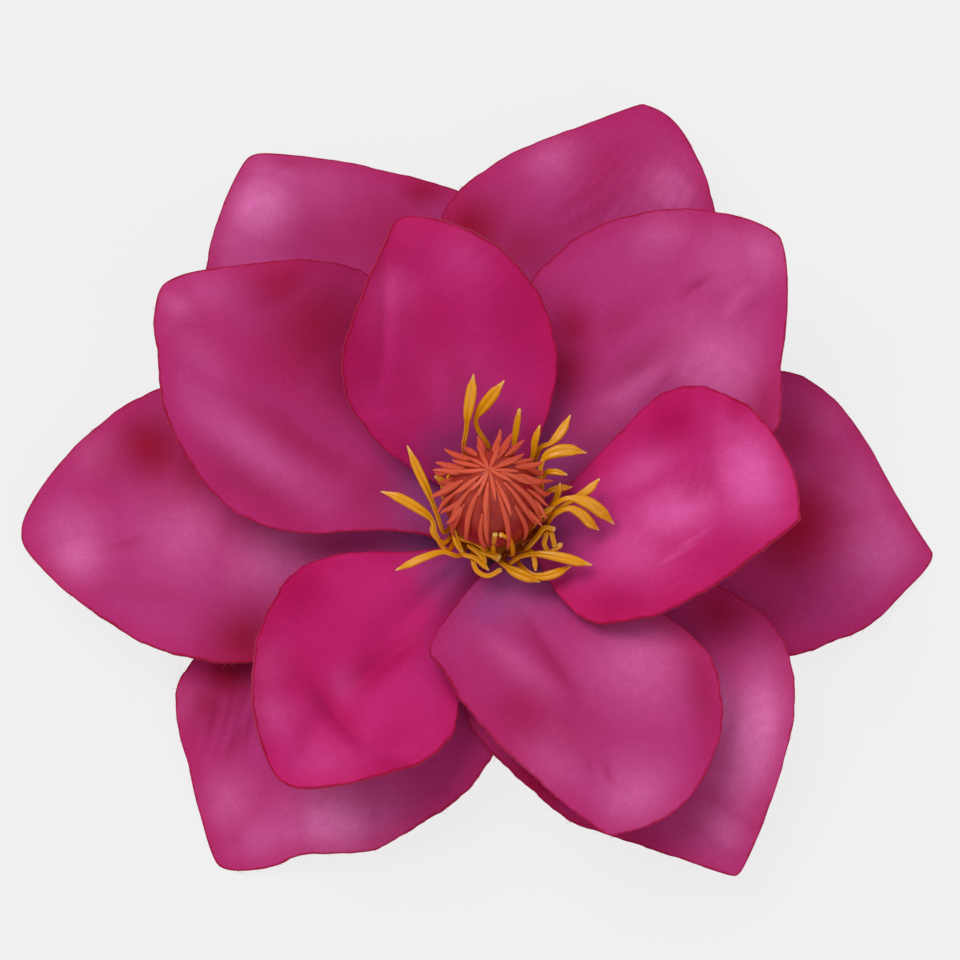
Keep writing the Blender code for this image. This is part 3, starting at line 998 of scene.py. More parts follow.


# A petal's glows are its painted highlights and sheen, partly paler dye, and its flushes its painted
# shade in creases and under other petals, partly darker dye.
OUTER_WHORL = (
    Petal("outer_petal_upper_left", root=124, tip=121, reach=66, bow=1.2, nose=0.03,
          heights=(8, 8.5, 5.5, 0.35),
          left=Side(19, 0.55, 1.2, 0.9, (0, -0.5, -1, 0)),
          right=Side(26, 0.49, 1.2, 0.93, (0, -1, -1, 0)), rests=True,
          folds=(Fold((0.94, -0.72), (0.89, -0.52), -0.35, 0.8),
                 Fold((0.93, 0.1), (0.84, 0.45), 0.5, 2.2)),
          sheens_and_pale_dyes=(Dab((0.84, 0.6), 4.8, 0.95, (0.91, -0.2)), Dab((0.96, -0.1), 4, 0.4),
                 Dab((0.86, -0.5), 6, 0.22), Dab((0.78, 0.55), 5, 0.25)),
          shades_and_dark_dyes=(Dab((0.64, -0.5), 8, 0.35), Dab((0.72, -0.93), 3.5, 0.9),
                   Dab((0.72, -0.1), 6, 0.25), Dab((0.955, -0.52), 0.8, 0.25, (0.93, -0.75)))),
    Petal("outer_petal_lower_left", root=234, tip=230, reach=57.5, bow=0.5, nose=0.12,
          heights=(8, 8, 5, 0.35),
          left=Side(19.2, 0.42, 0.75, 1.05, (0, 0, 0.5, 0.5), ((-1.6, 0.85, 0.065), (0.6, 0.72, 0.06))),
          right=Side(20.5, 0.66, 1.2, 1.2, (0, 0.5, 0.5, 0), ((0.9, 0.76, 0.07), (-0.4, 0.87, 0.03))),
          rests=True,
          pleats=(Pleats((0.72, -0.55), 4.4, 2.0, 29, 0.36),),
          sheens_and_pale_dyes=(Dab((0.93, 0), 4, 0.35, (0.82, 0.43)), Dab((0.8, 0.5), 5, 1.0, (0.66, 0.72)),
                 Dab((0.76, -0.95), 2.6, 0.4), Dab((0.87, -0.4), 4, 0.4)),
          shades_and_dark_dyes=(Dab((0.62, -0.78), 4.5, 1.0), Dab((0.74, -0.62), 1.2, 0.5, (0.6, -0.6)),
                   Dab((0.78, -0.48), 1.1, 0.45, (0.66, -0.46)), Dab((0.72, -0.75), 3.5, 0.7),
                   Dab((0.62, 0.1), 5, 0.3))),
    Petal("outer_petal_right", root=356, tip=359, reach=60, bow=0.5, nose=0.075,
          heights=(8, 8.5, 5, 0.35),
          left=Side(23.7, 0.62, 1.2, 1.4, (0, 0.5, 0.5, 0), ((0.8, 0.82, 0.07),)),
          right=Side(16, 0.59, 1.2, 0.95, (0, 0, 0, 0), ((0.4, 0.62, 0.06), (0.9, 0.85, 0.07))),
          rests=True,
          sheens_and_pale_dyes=(Dab((0.82, 0.5), 6, 0.3), Dab((0.86, 0.05), 6, 0.4), Dab((0.74, 0.88), 4, 0.2)),
          shades_and_dark_dyes=(Dab((0.72, 0.4), 6, 1.0, (0.58, -0.3)), Dab((0.64, 0.6), 4.5, 0.5),
                   Dab((0.76, -0.5), 5, 0.1), Dab((0.58, -0.6), 4, 0.3))),
)
SECOND_WHORL = (
    Petal("second_petal_top", root=70, tip=71.2, reach=64.8, bow=0.3, nose=0.08,
          heights=(9.6, 12, 11.5, 8),
          left=Side(20.6, 0.57, 1.2, 1.3, (0, -0.5, -1, 0)),
          right=Side(18.6, 0.52, 1.2, 0.65),
          pleats=(Pleats((0.72, 0.1), 7.5, 1.3, -21, 0.17), Pleats((0.78, -0.4), 6, 1.7, -8, 0.12)),
          sheens_and_pale_dyes=(Dab((0.8, 0.74), 4, 0.45), Dab((0.86, -0.74), 4, 0.5, (0.76, -0.4)),
                 Dab((0.68, -0.5), 5, 0.25)),
          shades_and_dark_dyes=(Dab((0.56, 0.82), 6.5, 1.0), Dab((0.56, 0.45), 5, 0.6),
                   Dab((0.6, 0.42), 1, 0.3, (0.8, 0.0)),
                   Dab((0.6, 0.25), 0.9, 0.3, (0.78, -0.14)),
                   Dab((0.64, 0.09), 0.9, 0.3, (0.82, -0.18)), Dab((0.82, 0.12), 6, 0.2))),
    Petal("second_petal_left", root=182, tip=180, reach=64, bow=-0.5, nose=0.033,
          heights=(9.6, 10.5, 9, 6.5),
          left=Side(19, 0.51, 0.95, 0.82, (0, 0, 1, 0)),
          right=Side(20.2, 0.59, 1.2, 0.74, (0, 1, 1, 0)),
          folds=(Fold((0.8, 0.14), (0.73, 0.06), -0.35, 0.8), Fold((0.45, 0.2), (0.85, 0.25), 0.3, 3)),
          sheens_and_pale_dyes=(Dab((0.87, 0.33), 3.6, 0.65), Dab((0.88, 0.02), 4, 0.4), Dab((0.62, 0.02), 6, 0.4),
                 Dab((0.84, -0.82), 3.5, 0.3), Dab((0.42, 0.2), 6, 0.55)),
          shades_and_dark_dyes=(Dab((0.76, -0.92), 5, 1.0, (0.65, -0.35)), Dab((0.6, -0.45), 5.5, 0.7),
                   Dab((0.48, 0.87), 6, 0.95), Dab((0.8, 0.22), 0.8, 0.25, (0.71, 0.08)),
                   Dab((0.8, 0.68), 1.8, 0.2, (0.56, 0.54)), Dab((0.46, -0.1), 5, 0.4),
                   Dab((0.76, -0.6), 5, 0.5))),
    Petal("second_petal_lower_right", root=304, tip=304.6, reach=56.5, bow=0.6, nose=0.025,
          heights=(9.6, 10.5, 10, 7),
          left=Side(22.3, 0.55, 1.2, 0.98, (0, 1, 1, 0)),
          right=Side(18.8, 0.33, 0.85, 1.0, (0, 0, 0, 0), ((1.0, 0.67, 0.09), (-0.5, 0.42, 0.08))),
          folds=(Fold((0.6, 0.62), (0.66, 0.85), -0.3, 1.2),),
          sheens_and_pale_dyes=(Dab((0.62, 0.82), 4.4, 1.0, (0.84, 0.5)), Dab((0.62, 0.4), 4.5, 1.0),
                 Dab((0.9, -0.1), 5, 0.5, (0.86, 0.35)), Dab((0.8, 0.5), 4.5, 0.6)),
          shades_and_dark_dyes=(Dab((0.42, 0.85), 5, 0.8), Dab((0.7, -0.8), 7, 0.5),
                   Dab((0.52, -0.85), 5, 1.0), Dab((0.8, -0.1), 4, 0.25))),
)
THIRD_WHORL = (
    Petal("third_petal_upper_left", root=178, tip=145, reach=53.4, bow=4.3, nose=0.1,
          heights=(12.4, 17, 21.5, 23),
          left=Side(14, 0.48, 2.4, 0.95, (0, 0, 0, 0), ((-0.6, 0.86, 0.05),)),
          right=Side(21.3, 0.6, 1.2, 0.87, (0, 2, 3, 1)),
          folds=(Fold((0.74, 0.55), (0.3, 0.5), 0.55, 1.8), Fold((0.82, 0.1), (0.36, 0.08), 0.4, 1.8),
                 Fold((0.78, -0.22), (0.42, -0.18), -0.35, 1.8)),
          sheens_and_pale_dyes=(Dab((0.96, -0.06), 3.2, 0.4, (0.92, 0.5)), Dab((0.93, -0.5), 4, 0.2),
                 Dab((0.92, 0.48), 2, 0.15, (0.7, 0.15)), Dab((0.72, 0.6), 2.8, 0.3, (0.34, 0.46))),
          shades_and_dark_dyes=(Dab((0.8, -0.74), 6, 0.8), Dab((0.63, -0.55), 9, 0.85), Dab((0.46, -0.5), 8, 0.65),
                   Dab((0.64, 0.84), 2.6, 0.5, (0.34, 0.84)),
                   Dab((0.66, 0.14), 2.4, 0.5, (0.28, 0.04)), Dab((0.2, 0.3), 5, 0.4),
                   Dab((0.86, 0.1), 4, 0.2))),
    Petal("third_petal_upper_right", root=47, tip=44, reach=53.4, bow=4.8, nose=0.3,
          heights=(12.4, 16.5, 20.5, 22),
          left=Side(14.8, 0.49, 1.2, 1.2, (0, 2, 2, 1)),
          right=Side(22.5, 0.63, 1.2, 1.1, (0, 1, 0, 0), ((-1.1, 0.84, 0.06), (0.5, 0.7, 0.06))),
          folds=(Fold((0.91, -0.44), (0.72, -0.38), 0.35, 0.6),
                 Fold((0.34, -0.15), (0.6, -0.3), -0.5, 1.2),
                 Fold((0.7, 0.0), (0.77, -0.05), -0.35, 0.6),
                 Fold((0.36, -0.5), (0.76, -0.15), 0.35, 1.4)),
          pleats=(Pleats((0.5, -0.45), 8, 2.7, 3, 0.12),),
          sheens_and_pale_dyes=(Dab((0.96, -0.1), 4.5, 0.5), Dab((0.68, -0.33), 1.2, 0.25, (0.92, -0.3)),
                 Dab((0.75, 0.75), 3.5, 0.35), Dab((0.64, -0.48), 6.5, 0.6),
                 Dab((0.26, -0.34), 2.6, 0.35, (0.6, -0.26)), Dab((0.86, 0.1), 5, 0.3)),
          shades_and_dark_dyes=(Dab((0.33, 0.3), 4.5, 0.8), Dab((0.34, -0.08), 1.8, 0.35, (0.62, -0.2)),
                   Dab((0.45, 0.2), 2.2, 0.35, (0.6, 0.15)),
                   Dab((0.69, -0.01), 0.5, 0.45, (0.8, -0.02)), Dab((0.4, 0.25), 3, 0.7, (0.46, 0.64)),
                   Dab((0.79, -0.92), 2.6, 0.6, (0.6, -0.97)), Dab((0.22, -0.4), 5, 0.35))),
    Petal("third_petal_bottom", root=310, tip=289.5, reach=45.8, bow=0.4, nose=0.12,
          heights=(12.4, 16, 19, 18),
          left=Side(19.3, 0.585, 1.5, 0.47, (0, 0, -1, 0)),
          right=Side(15, 0.28, 1.0, 1.19, (0, 3, 1, 0), ((1.0, 0.25, 0.07),)),
          folds=(Fold((0.2, -0.12), (0.6, 0.08), -0.5, 1.0), Fold((0.74, -0.03), (0.8, -0.02), -0.3, 0.5),
                 Fold((0.18, 0.15), (0.5, 0.35), 0.35, 1.6)),
          sheens_and_pale_dyes=(Dab((0.92, 0.35), 5, 0.5), Dab((0.48, 0.54), 6, 0.5), Dab((0.74, -0.7), 5, 0.3),
                 Dab((0.24, -0.52), 2, 0.3, (0.52, -0.2)), Dab((0.14, -0.2), 4, 0.25)),
          shades_and_dark_dyes=(Dab((0.46, 1.0), 2.4, 0.6, (0.8, 0.94)),
                   Dab((0.2, -0.25), 1.7, 0.4, (0.62, 0.1)), Dab((0.56, -0.57), 5, 0.5),
                   Dab((0.75, 0.06), 0.5, 0.4, (0.85, 0.12)), Dab((0.62, -0.15), 6, 0.35))),
)
INNER_WHORL = (
    Petal("inner_petal_top", root=101, tip=110.2, reach=37.6, bow=-1.4, nose=0.09,
          heights=(14.2, 21, 29, 35),
          left=Side(15.3, 0.47, 0.66, 1.25, (0, 2.5, 3, 1)),
          right=Side(13.4, 0.45, 0.8, 0.85, (0, 2.5, 3, 1)), cloth=INNER_CLOTH,
          folds=(Fold((0.88, 0.74), (0.45, 0.7), -0.55, 0.9), Fold((0.86, 0.45), (0.6, 0.5), 0.3, 1.5)),
          sheens_and_pale_dyes=(Dab((0.86, 0.45), 3, 0.35, (0.7, 0.5)), Dab((0.96, -0.1), 4, 0.15),
                 Dab((0.36, 0.05), 5, 0.2), Dab((0.8, -0.75), 4, 0.2)),
          shades_and_dark_dyes=(Dab((0.58, 0.86), 4, 0.7), Dab((0.58, 0.05), 7, 0.4), Dab((0.5, -0.75), 6, 0.65),
                   Dab((0.42, 0.45), 5, 0.4), Dab((0.9, 0.05), 5, 0.6))),
    Petal("inner_petal_right", root=-5, tip=355, reach=39.8, bow=-1, nose=0.03,
          heights=(14.2, 18.5, 24, 29),
          left=Side(18.4, 0.54, 1.6, 0.44, (0, 4, 4, 1)),
          right=Side(13, 0.31, 1.15, 1.15, (0, 1, 1, 1)), cloth=INNER_CLOTH,
          folds=(Fold((0.66, 0.8), (0.72, 0.15), 0.5, 1.3), Fold((0.56, 0.66), (0.36, 0.35), 0.4, 1.2),
                 Fold((0.32, -0.42), (0.6, -0.1), -0.3, 1.0)),
          pleats=(Pleats((0.5, -0.3), 4.5, 1.2, 18, 0.15), Pleats((0.62, 0.4), 3, 1.3, 75, 0.12)),
          sheens_and_pale_dyes=(Dab((0.3, 0.46), 2.4, 0.5, (0.52, 0.56)), Dab((0.4, 0.05), 3.4, 0.85, (0.7, 0.26)),
                 Dab((0.78, 0.74), 4.2, 0.9, (0.86, 0.1)),
                 Dab((0.45, -0.46), 0.5, 0.45, (0.63, -0.2)),
                 Dab((0.52, -0.3), 0.45, 0.4, (0.7, 0.02)), Dab((0.4, -0.2), 5, 0.45)),
          shades_and_dark_dyes=(Dab((0.38, 0.86), 4, 1.0, (0.62, 0.8)), Dab((0.77, 0.97), 2.2, 0.6),
                   Dab((0.22, -0.86), 3.4, 0.85, (0.5, -0.9)), Dab((0.61, 0.3), 2.4, 0.5),
                   Dab((0.63, -0.52), 2.8, 0.6, (0.88, -0.3)))),
    Petal("inner_petal_lower_left", root=232, tip=233.7, reach=45.5, bow=-2, nose=0.048,
          heights=(11, 13.5, 16, 19),
          left=Side(15.1, 0.59, 2.2, 0.8, (0, -0.5, 2, 1)),
          right=Side(14.8, 0.44, 1.9, 0.75, (0, 2, 4, 2)), keel=1.6, cloth=INNER_CLOTH,
          folds=(Fold((0.3, 0.38), (0.6, 0.03), -0.9, 1.3),
                 Fold((0.66, -0.42), (0.76, 0.5), -0.8, 1.2),
                 Fold((0.38, -0.1), (0.64, -0.14), 0.5, 1.8)),
          sheens_and_pale_dyes=(Dab((0.61, -0.05), 2.2, 0.35), Dab((0.83, -0.78), 3.5, 0.45),
                 Dab((0.88, 0.3), 4.5, 0.2), Dab((0.72, -0.85), 3, 0.35)),
          shades_and_dark_dyes=(Dab((0.3, 0.38), 2.2, 0.75, (0.64, 0.02)),
                   Dab((0.64, -0.45), 2.2, 0.7, (0.78, 0.55)),
                   Dab((0.57, -0.93), 4, 0.85, (0.36, -0.9)),
                   Dab((0.8, 0.55), 2.2, 0.4, (0.6, 0.72)), Dab((0.8, 0.9), 2.5, 0.5),
                   Dab((0.68, -0.55), 3.8, 0.5))),
)
PETALS = OUTER_WHORL + SECOND_WHORL + THIRD_WHORL + INNER_WHORL


@dataclass(frozen=True)
class Moulded:
    """The finish of the soft plastic centre.

    Attributes:
        slot: The record's slot.
        deep: The colour at the roots.
        body: The colour over most of it.
        tip: The colour of the tips.
        roughness: How dull it is.
        cloud: The scale of the noise that the colours drift by, in waves a metre.
        wrinkle: The scale of the wrinkles' noise.
        relief: The wrinkles' depth, in mm.
    """

    slot: Slot
    deep: Colour
    body: Colour
    tip: Colour
    roughness: float
    cloud: float = 420.0
    wrinkle: float = 1900.0
    relief: float = 0.05

    def shader(self) -> Shader:
        """The plastic's material: root, body and tip colours by place, with fine wrinkles.

        Returns:
            The material, which reads the attribute along.
        """
        plastic = Shader(
            self.slot.value,
            Specular_IOR_Level=0.4,
            Subsurface_Weight=0.12,
            Subsurface_Radius=(1.0, 0.45, 0.15),
            Subsurface_Scale=0.6 * MM,
        )
        place = plastic.place()
        along = plastic.attribute("along")
        cloud = plastic.noise(place, self.cloud, 3.0)
        colour = plastic.mix((along + (cloud - 0.5) * 0.3).rise(0.1, 0.5), self.deep, self.body)
        colour = plastic.mix((along + (cloud - 0.5) * 0.1).rise(0.9, 1.0) * 0.8, colour, self.tip)
        plastic.set(Base_Color=colour, Roughness=self.roughness + (cloud - 0.5) * 0.2)
        wrinkles = plastic.noise(place, self.wrinkle, 2.0)
        plastic.set(Normal=plastic.bump(wrinkles, self.relief * MM, 0.35))
        return plastic


YELLOW_PLASTIC = Moulded(
    Slot.STAMEN,
    deep=linear(190, 98, 2),
    body=linear(220, 147, 2),
    tip=linear(226, 188, 100),
    roughness=0.3,
)
CORAL_PLASTIC = Moulded(
    Slot.PISTIL,
    deep=linear(148, 24, 14),
    body=linear(208, 82, 54),
    tip=linear(222, 116, 88),
    roughness=0.38,
)


@dataclass(frozen=True)
class Sight:
    """The way the camera looks at the bloom. Lengths are in mm.

    Attributes:
        elevation: How steeply it looks down, in degrees.
        distance: From the camera to the foot of the receptacle's axis, along its look.
        aim_right: How far the picture's middle lies to the left of that foot.
        aim_up: How far it lies above it.
    """

    elevation: float = 75.0
    distance: float = 550.0
    aim_right: float = 1.918
    aim_up: float = 9.179

    def ways(self) -> tuple[np.ndarray, np.ndarray, np.ndarray]:
        """The camera's directions.

        Returns:
            The picture's right, its up and the way ahead.
        """
        tilt = math.radians(self.elevation)
        ahead = np.array([0, math.cos(tilt), -math.sin(tilt)])
        right = np.array([1.0, 0, 0])
        return right, np.cross(right, ahead), ahead

    def eye(self) -> np.ndarray:
        """The camera's place, from the foot of the receptacle's axis."""
        right, up, ahead = self.ways()
        return -ahead * self.distance - right * self.aim_right + up * self.aim_up

    def place(self, seen: np.ndarray) -> np.ndarray:
        """Places from how they look: right and up of the axis's foot, and their height.

        A line runs from the eye through the place at the foot's distance that is that far to
        the right and up. The point is where the line has the height.

        Args:
            seen: Right, up and height, one place a row.

        Returns:
            The points round the receptacle's axis.
        """
        right, up, _ = self.ways()
        eye = self.eye()
        line = seen[:, :1] * right + seen[:, 1:2] * up - eye
        return eye + line * ((seen[:, 2:] - eye[2]) / line[:, 2:])


SIGHT = Sight()


@dataclass(frozen=True)
class Stamen:
    """A stamen, in mm.

    Attributes:
        root: The azimuth of its root on the collar, in degrees.
        seen: Places that it passes, to the tip: right and up in the picture, and height.
        start: How far along it the anther starts.
        girth: The anther's half-width.
        point: The half-width of its end.
    """

    root: float
    seen: tuple[tuple[float, float, float], ...]
    start: float = 0.5
    girth: float = 0.7
    point: float = 0.07


def smooth_path(points: np.ndarray, count: int) -> np.ndarray:
    """A curve through points: between two of them a cubic whose slopes at both are half the
    way from the point before to the point after.

    Args:
        points: The points, one a row.
        count: How many points the curve has.

    Returns:
        The curve's points.
    """
    last = len(points) - 1
    t = np.linspace(0, last, count)
    i = np.clip(t.astype(int), 0, last - 1)
    f = (t - i)[:, None]
    padded = np.concatenate([[2 * points[0] - points[1]], points, [2 * points[-1] - points[-2]]])
    a, b, c, d = (padded[i + k] for k in range(4))
    return b + (c - a) * f / 2 + (a - 2.5 * b + 2 * c - d / 2) * f**2 + (
        1.5 * (b - c) + (d - a) / 2) * f**3


@dataclass
class StamenCollar:
    """The moulded stamens and the collar that carries them. Lengths are in mm.

    Attributes:
        collar_radius: The collar's outer radius.
        collar_foot: The height of its lower face.
        collar_height: Its height.
        collar_hole: The radius where its faces close.
        collar_sides: Corners round it.
        root_radius: How far from the axis the stamens start.
        filament: A filament's half-width.
        blunt: The part of an anther over which it runs out to its point.
        flatness: The share of an anther's half-width that its half-depth has.
        points: Places along a stamen.
        sides: Corners round it.
        groove: The share of its depth that the groove takes.
        stamens: The stamens.
    """

    collar_radius: float = 5.5
    collar_foot: float = 15.5
    collar_height: float = 1.0
    collar_hole: float = 0.5
    collar_sides: int = 96
    root_radius: float = 4.9
    filament: float = 0.34
    blunt: float = 0.3
    flatness: float = 0.6
    points: int = 64
    sides: int = 24
    groove: float = 0.5
    stamens: tuple[Stamen, ...] = (
        Stamen(108, ((-4.0, 12.9, 21.5), (-3.8, 15.9, 23.2), (-3.55, 18.4, 25), (-3.1, 21.3, 26.5),
                     (-2.8, 23.7, 27.5)), 0.5, 0.76),
        Stamen(84, ((-0.7, 13.6, 20.5), (-2.2, 16.1, 22.2), (-2.35, 17.9, 23.6), (-0.6, 20.3, 25.6),
                    (1.4, 22.8, 27.5)), 0.6, 0.82),
        Stamen(68, ((2.7, 13.7, 21), (3.05, 16.3, 23), (3.5, 18.9, 25)), 0.4, 0.46, 0.2),
        Stamen(50, ((5.2, 12.2, 20.5), (5.6, 14.5, 22.5), (6.3, 16.7, 24)), 0.4, 0.48),
        Stamen(40, ((5.5, 11.5, 19.5), (6.3, 13.5, 21), (7.9, 14.3, 21.8), (9.25, 15.9, 22.3),
                    (10.5, 18.1, 22.5)), 0.58, 0.64),
        Stamen(22, ((6.5, 7.5, 19), (6.3, 10.2, 21), (6.9, 12.2, 22), (8.7, 13.1, 22.6),
                    (10.7, 13.25, 22.6), (12.7, 12.9, 22)), 0.48, 0.86),
        Stamen(14, ((6.75, 9.7, 19.5), (8.2, 10.3, 21), (10.05, 9.9, 21)), 0.4, 0.42),
        Stamen(8, ((7.1, 7.3, 18), (8.9, 8.0, 18.8), (10.7, 8.2, 18.6)), 0.4, 0.48),
        Stamen(352, ((7.7, 5.5, 19.5), (8.7, 7.1, 20.7), (9.1, 8.8, 21.6)), 0.4, 0.4),
        Stamen(330, ((5.9, 3.6, 21), (7.0, 4.8, 22), (8.2, 5.45, 22.3)), 0.4, 0.36),
        Stamen(2, ((7.8, 4.6, 19.5), (10.5, 6.2, 21), (12.8, 7.7, 22), (14.5, 9.4, 22.5)), 0.5, 0.6),
        Stamen(345, ((6.75, 3.8, 19.8), (8.2, 5.75, 22.3), (10.3, 6.7, 23.6), (12.8, 6.1, 23.2),
                     (14.8, 4.7, 22), (16.5, 3.1, 20.5)), 0.52, 0.86),
        Stamen(332, ((6.9, 2.8, 19), (8.2, 4.4, 21.3), (10.2, 5.25, 22.5), (11.9, 4.6, 22),
                     (13.2, 3.25, 21), (14.4, 2.3, 20)), 0.5, 0.74),
        Stamen(312, ((4.1, -0.5, 18.5), (5.7, 1.1, 19.6), (6.9, 2.6, 20.6), (8.45, 2.4, 20.4)),
               0.9, 0.36),
        Stamen(325, ((7.0, 2.0, 19.8), (6.9, 0.4, 19.4), (7.7, -0.7, 19.1), (9.4, 0.5, 19.2)), 0.85, 0.4),
        Stamen(318, ((7.4, 2.0, 19.6), (8.1, 1.0, 19.8), (8.3, 0.0, 19.3)), 0.9, 0.34),
        Stamen(278, ((1.9, -2.3, 17.8), (3.6, -1.3, 18.9), (6.0, -0.95, 19.9), (9.1, -1.4, 20.2),
                     (11.4, -2.0, 20), (13.5, -2.5, 19.5)), 0.48, 0.74),
        Stamen(296, ((3.9, -2.8, 17.6), (6.0, -4.0, 18.2), (8.2, -3.7, 18.7), (10.6, -2.6, 18.5)),
               0.45, 0.7),
        Stamen(262, ((0.8, -2.0, 18), (2.3, -3.1, 18.5), (4.25, -4.0, 18.7), (6.3, -4.8, 18)),
               0.42, 0.82),
        Stamen(236, ((-2.9, -1.7, 17.8), (-2.3, -3.3, 17.9), (-0.75, -3.95, 17.9), (1.1, -3.0, 17.9)),
               0.9, 0.36),
        Stamen(205, ((-4.6, 1.2, 18.8), (-2.7, 0.65, 19.3), (-1.0, -0.5, 19.2), (0.7, -1.8, 18.8)),
               0.75, 0.5, 0.3),
        Stamen(214, ((-4.3, -0.85, 18), (-2.45, -1.6, 18.5), (-0.7, -3.2, 18.4)), 0.6, 0.4),
        Stamen(222, ((-4.7, -1.2, 17.8), (-7.0, -0.7, 18.8), (-9.5, -1.4, 19.3), (-11.5, -2.3, 19.1),
                     (-13.5, -3.2, 18.5)), 0.42, 0.56),
        Stamen(200, ((-6.3, -0.5, 18.2), (-7.9, 1.5, 19.3), (-8.6, 3.8, 20.5), (-10.6, 5.4, 21.6),
                     (-13.1, 6.8, 22), (-15.5, 7.6, 22)), 0.5, 0.72),
        Stamen(192, ((-6.8, 0.6, 18.2), (-8.4, 2.0, 19.2), (-8.2, 3.4, 19.8)), 0.9, 0.36),
        Stamen(178, ((-6.8, 2.0, 18.6), (-7.9, 4.7, 20.3), (-9.0, 7.5, 21.8), (-10.5, 10.75, 23),
                     (-11.9, 13.9, 24)), 0.52, 0.64),
        Stamen(160, ((-6.7, 6.3, 19), (-6.9, 8.6, 20.4), (-8.0, 9.8, 21)), 0.4, 0.5, 0.3),
        Stamen(140, ((-6.2, 8.0, 20), (-6.0, 10.2, 21), (-6.3, 11.2, 21.5)), 0.4, 0.44, 0.25),
        Stamen(268, ((-0.1, -0.8, 18.8), (-0.1, 0.5, 22.5), (0.15, 1.8, 26)), 0.7, 0.42, 0.34),
        Stamen(284, ((2.5, -1.0, 19), (2.3, 0.7, 23), (1.5, 1.5, 25.5), (0.8, 1.7, 26.2)), 0.9, 0.36),
        Stamen(232, ((-5.3, 2.4, 19), (-5.2, 0.9, 18.6), (-4.4, -0.7, 18)), 0.5, 0.46, 0.25),
        Stamen(292, ((4.9, -0.6, 18.8), (5.5, -1.6, 19.1), (5.7, -3.3, 18.6)), 0.5, 0.36),
        Stamen(250, ((-2.2, -0.6, 18.6), (-0.6, -1.0, 19.6), (0.9, -1.4, 20)), 0.6, 0.46, 0.3),
        Stamen(244, ((-3.4, 0.2, 18.4), (-2.0, -0.9, 19), (-1.0, -2.2, 18.6)), 0.5, 0.42),
    )

    def column(self, name: str) -> np.ndarray:
        """One of the stamens' sizes, as a column."""
        return np.array([getattr(stamen, name) for stamen in self.stamens], float)[:, None]

    def paths(self) -> np.ndarray:
        """The stamens' routes from the collar through the places where they are seen.

        Returns:
            Stamens by points by 3, in mm round the axis.
        """
        routes = []
        for stamen in self.stamens:
            root = polar(self.root_radius, stamen.root, self.collar_foot + self.collar_height / 2)
            seen = SIGHT.place(np.array(stamen.seen))
            routes.append(smooth_path(np.concatenate([[root], seen]), self.points))
        return np.stack(routes)

    def half_widths(self) -> np.ndarray:
        """A filament as far as the anther, which swells as a power of a sine to a point.

        Returns:
            Stamens by points, in mm.
        """
        t = np.linspace(0, 1, self.points)[None]
        start = self.column("start")
        anther = np.clip((t - start) / (1 - start), 0, 1)
        swell = np.sin(np.pi * anther**0.9) ** 0.85
        width = self.filament + (self.column("girth") - self.filament) * swell
        point = np.clip((1 - anther) / self.blunt, 0, 1) ** 0.8
        return width * point + self.column("point") * (1 - point)

    def shell(self) -> Shell:
        """The stamens and their collar, whose rim is half a circle.

        Returns:
            Both in one shell, round the axis.
        """
        paths = self.paths()
        widths = self.half_widths()
        outward = unit(paths * np.array([1, 1, 0]))
        upward = unit(np.array([0, 0, 0.85]) - 0.5 * outward)
        along = np.repeat(np.linspace(0, 1, self.points)[None], len(paths), axis=0)
        depths = np.minimum(widths, self.flatness * widths + 0.12)
        strands = tubes(
            paths * MM, widths * MM, depths * MM, upward, self.sides, self.groove, {"along": along}
        )
        turn = np.linspace(0, np.pi, 13)
        half = self.collar_height / 2
        rim = np.stack([self.collar_radius - half + half * np.sin(turn),
                        self.collar_foot + half + half * np.cos(turn)], axis=1)
        top = [[self.collar_hole, self.collar_foot + self.collar_height]]
        foot = [[self.collar_hole, self.collar_foot]]
        profile = np.concatenate([top, rim, foot])
        collar = lathe(profile * MM, self.collar_sides, {"along": np.zeros(len(profile))})
        return strands + collar

    def build(self, finish: Shader, axis: np.ndarray) -> bpy.types.Object:
        """Makes the stamens and their collar.

        Args:
            finish: Their plastic.
            axis: Where the receptacle's axis meets the surface, in metres.

        Returns:
            Both as one piece.
        """
        shell = self.shell()
        shell.points += axis
        return shell.piece("moulded_stamens", finish, Slot.STAMEN, "stamens")


@dataclass(frozen=True)
class Tier:
    """A ring of styles that start and end at parts of the cone's height. Lengths are in mm.

    Attributes:
        count: How many there are.
        first: The first one's azimuth, in degrees.
        arc: The azimuths that they are spread over.
        start: The part of the height where they start.
        foot: The part where they end.
        lift: How far their tips stand off.
        girth: Their half-width.
        sway: How far they wander, in degrees.
    """

    count: int
    first: float
    arc: float
    start: float
    foot: float
    lift: float
    girth: float
    sway: float


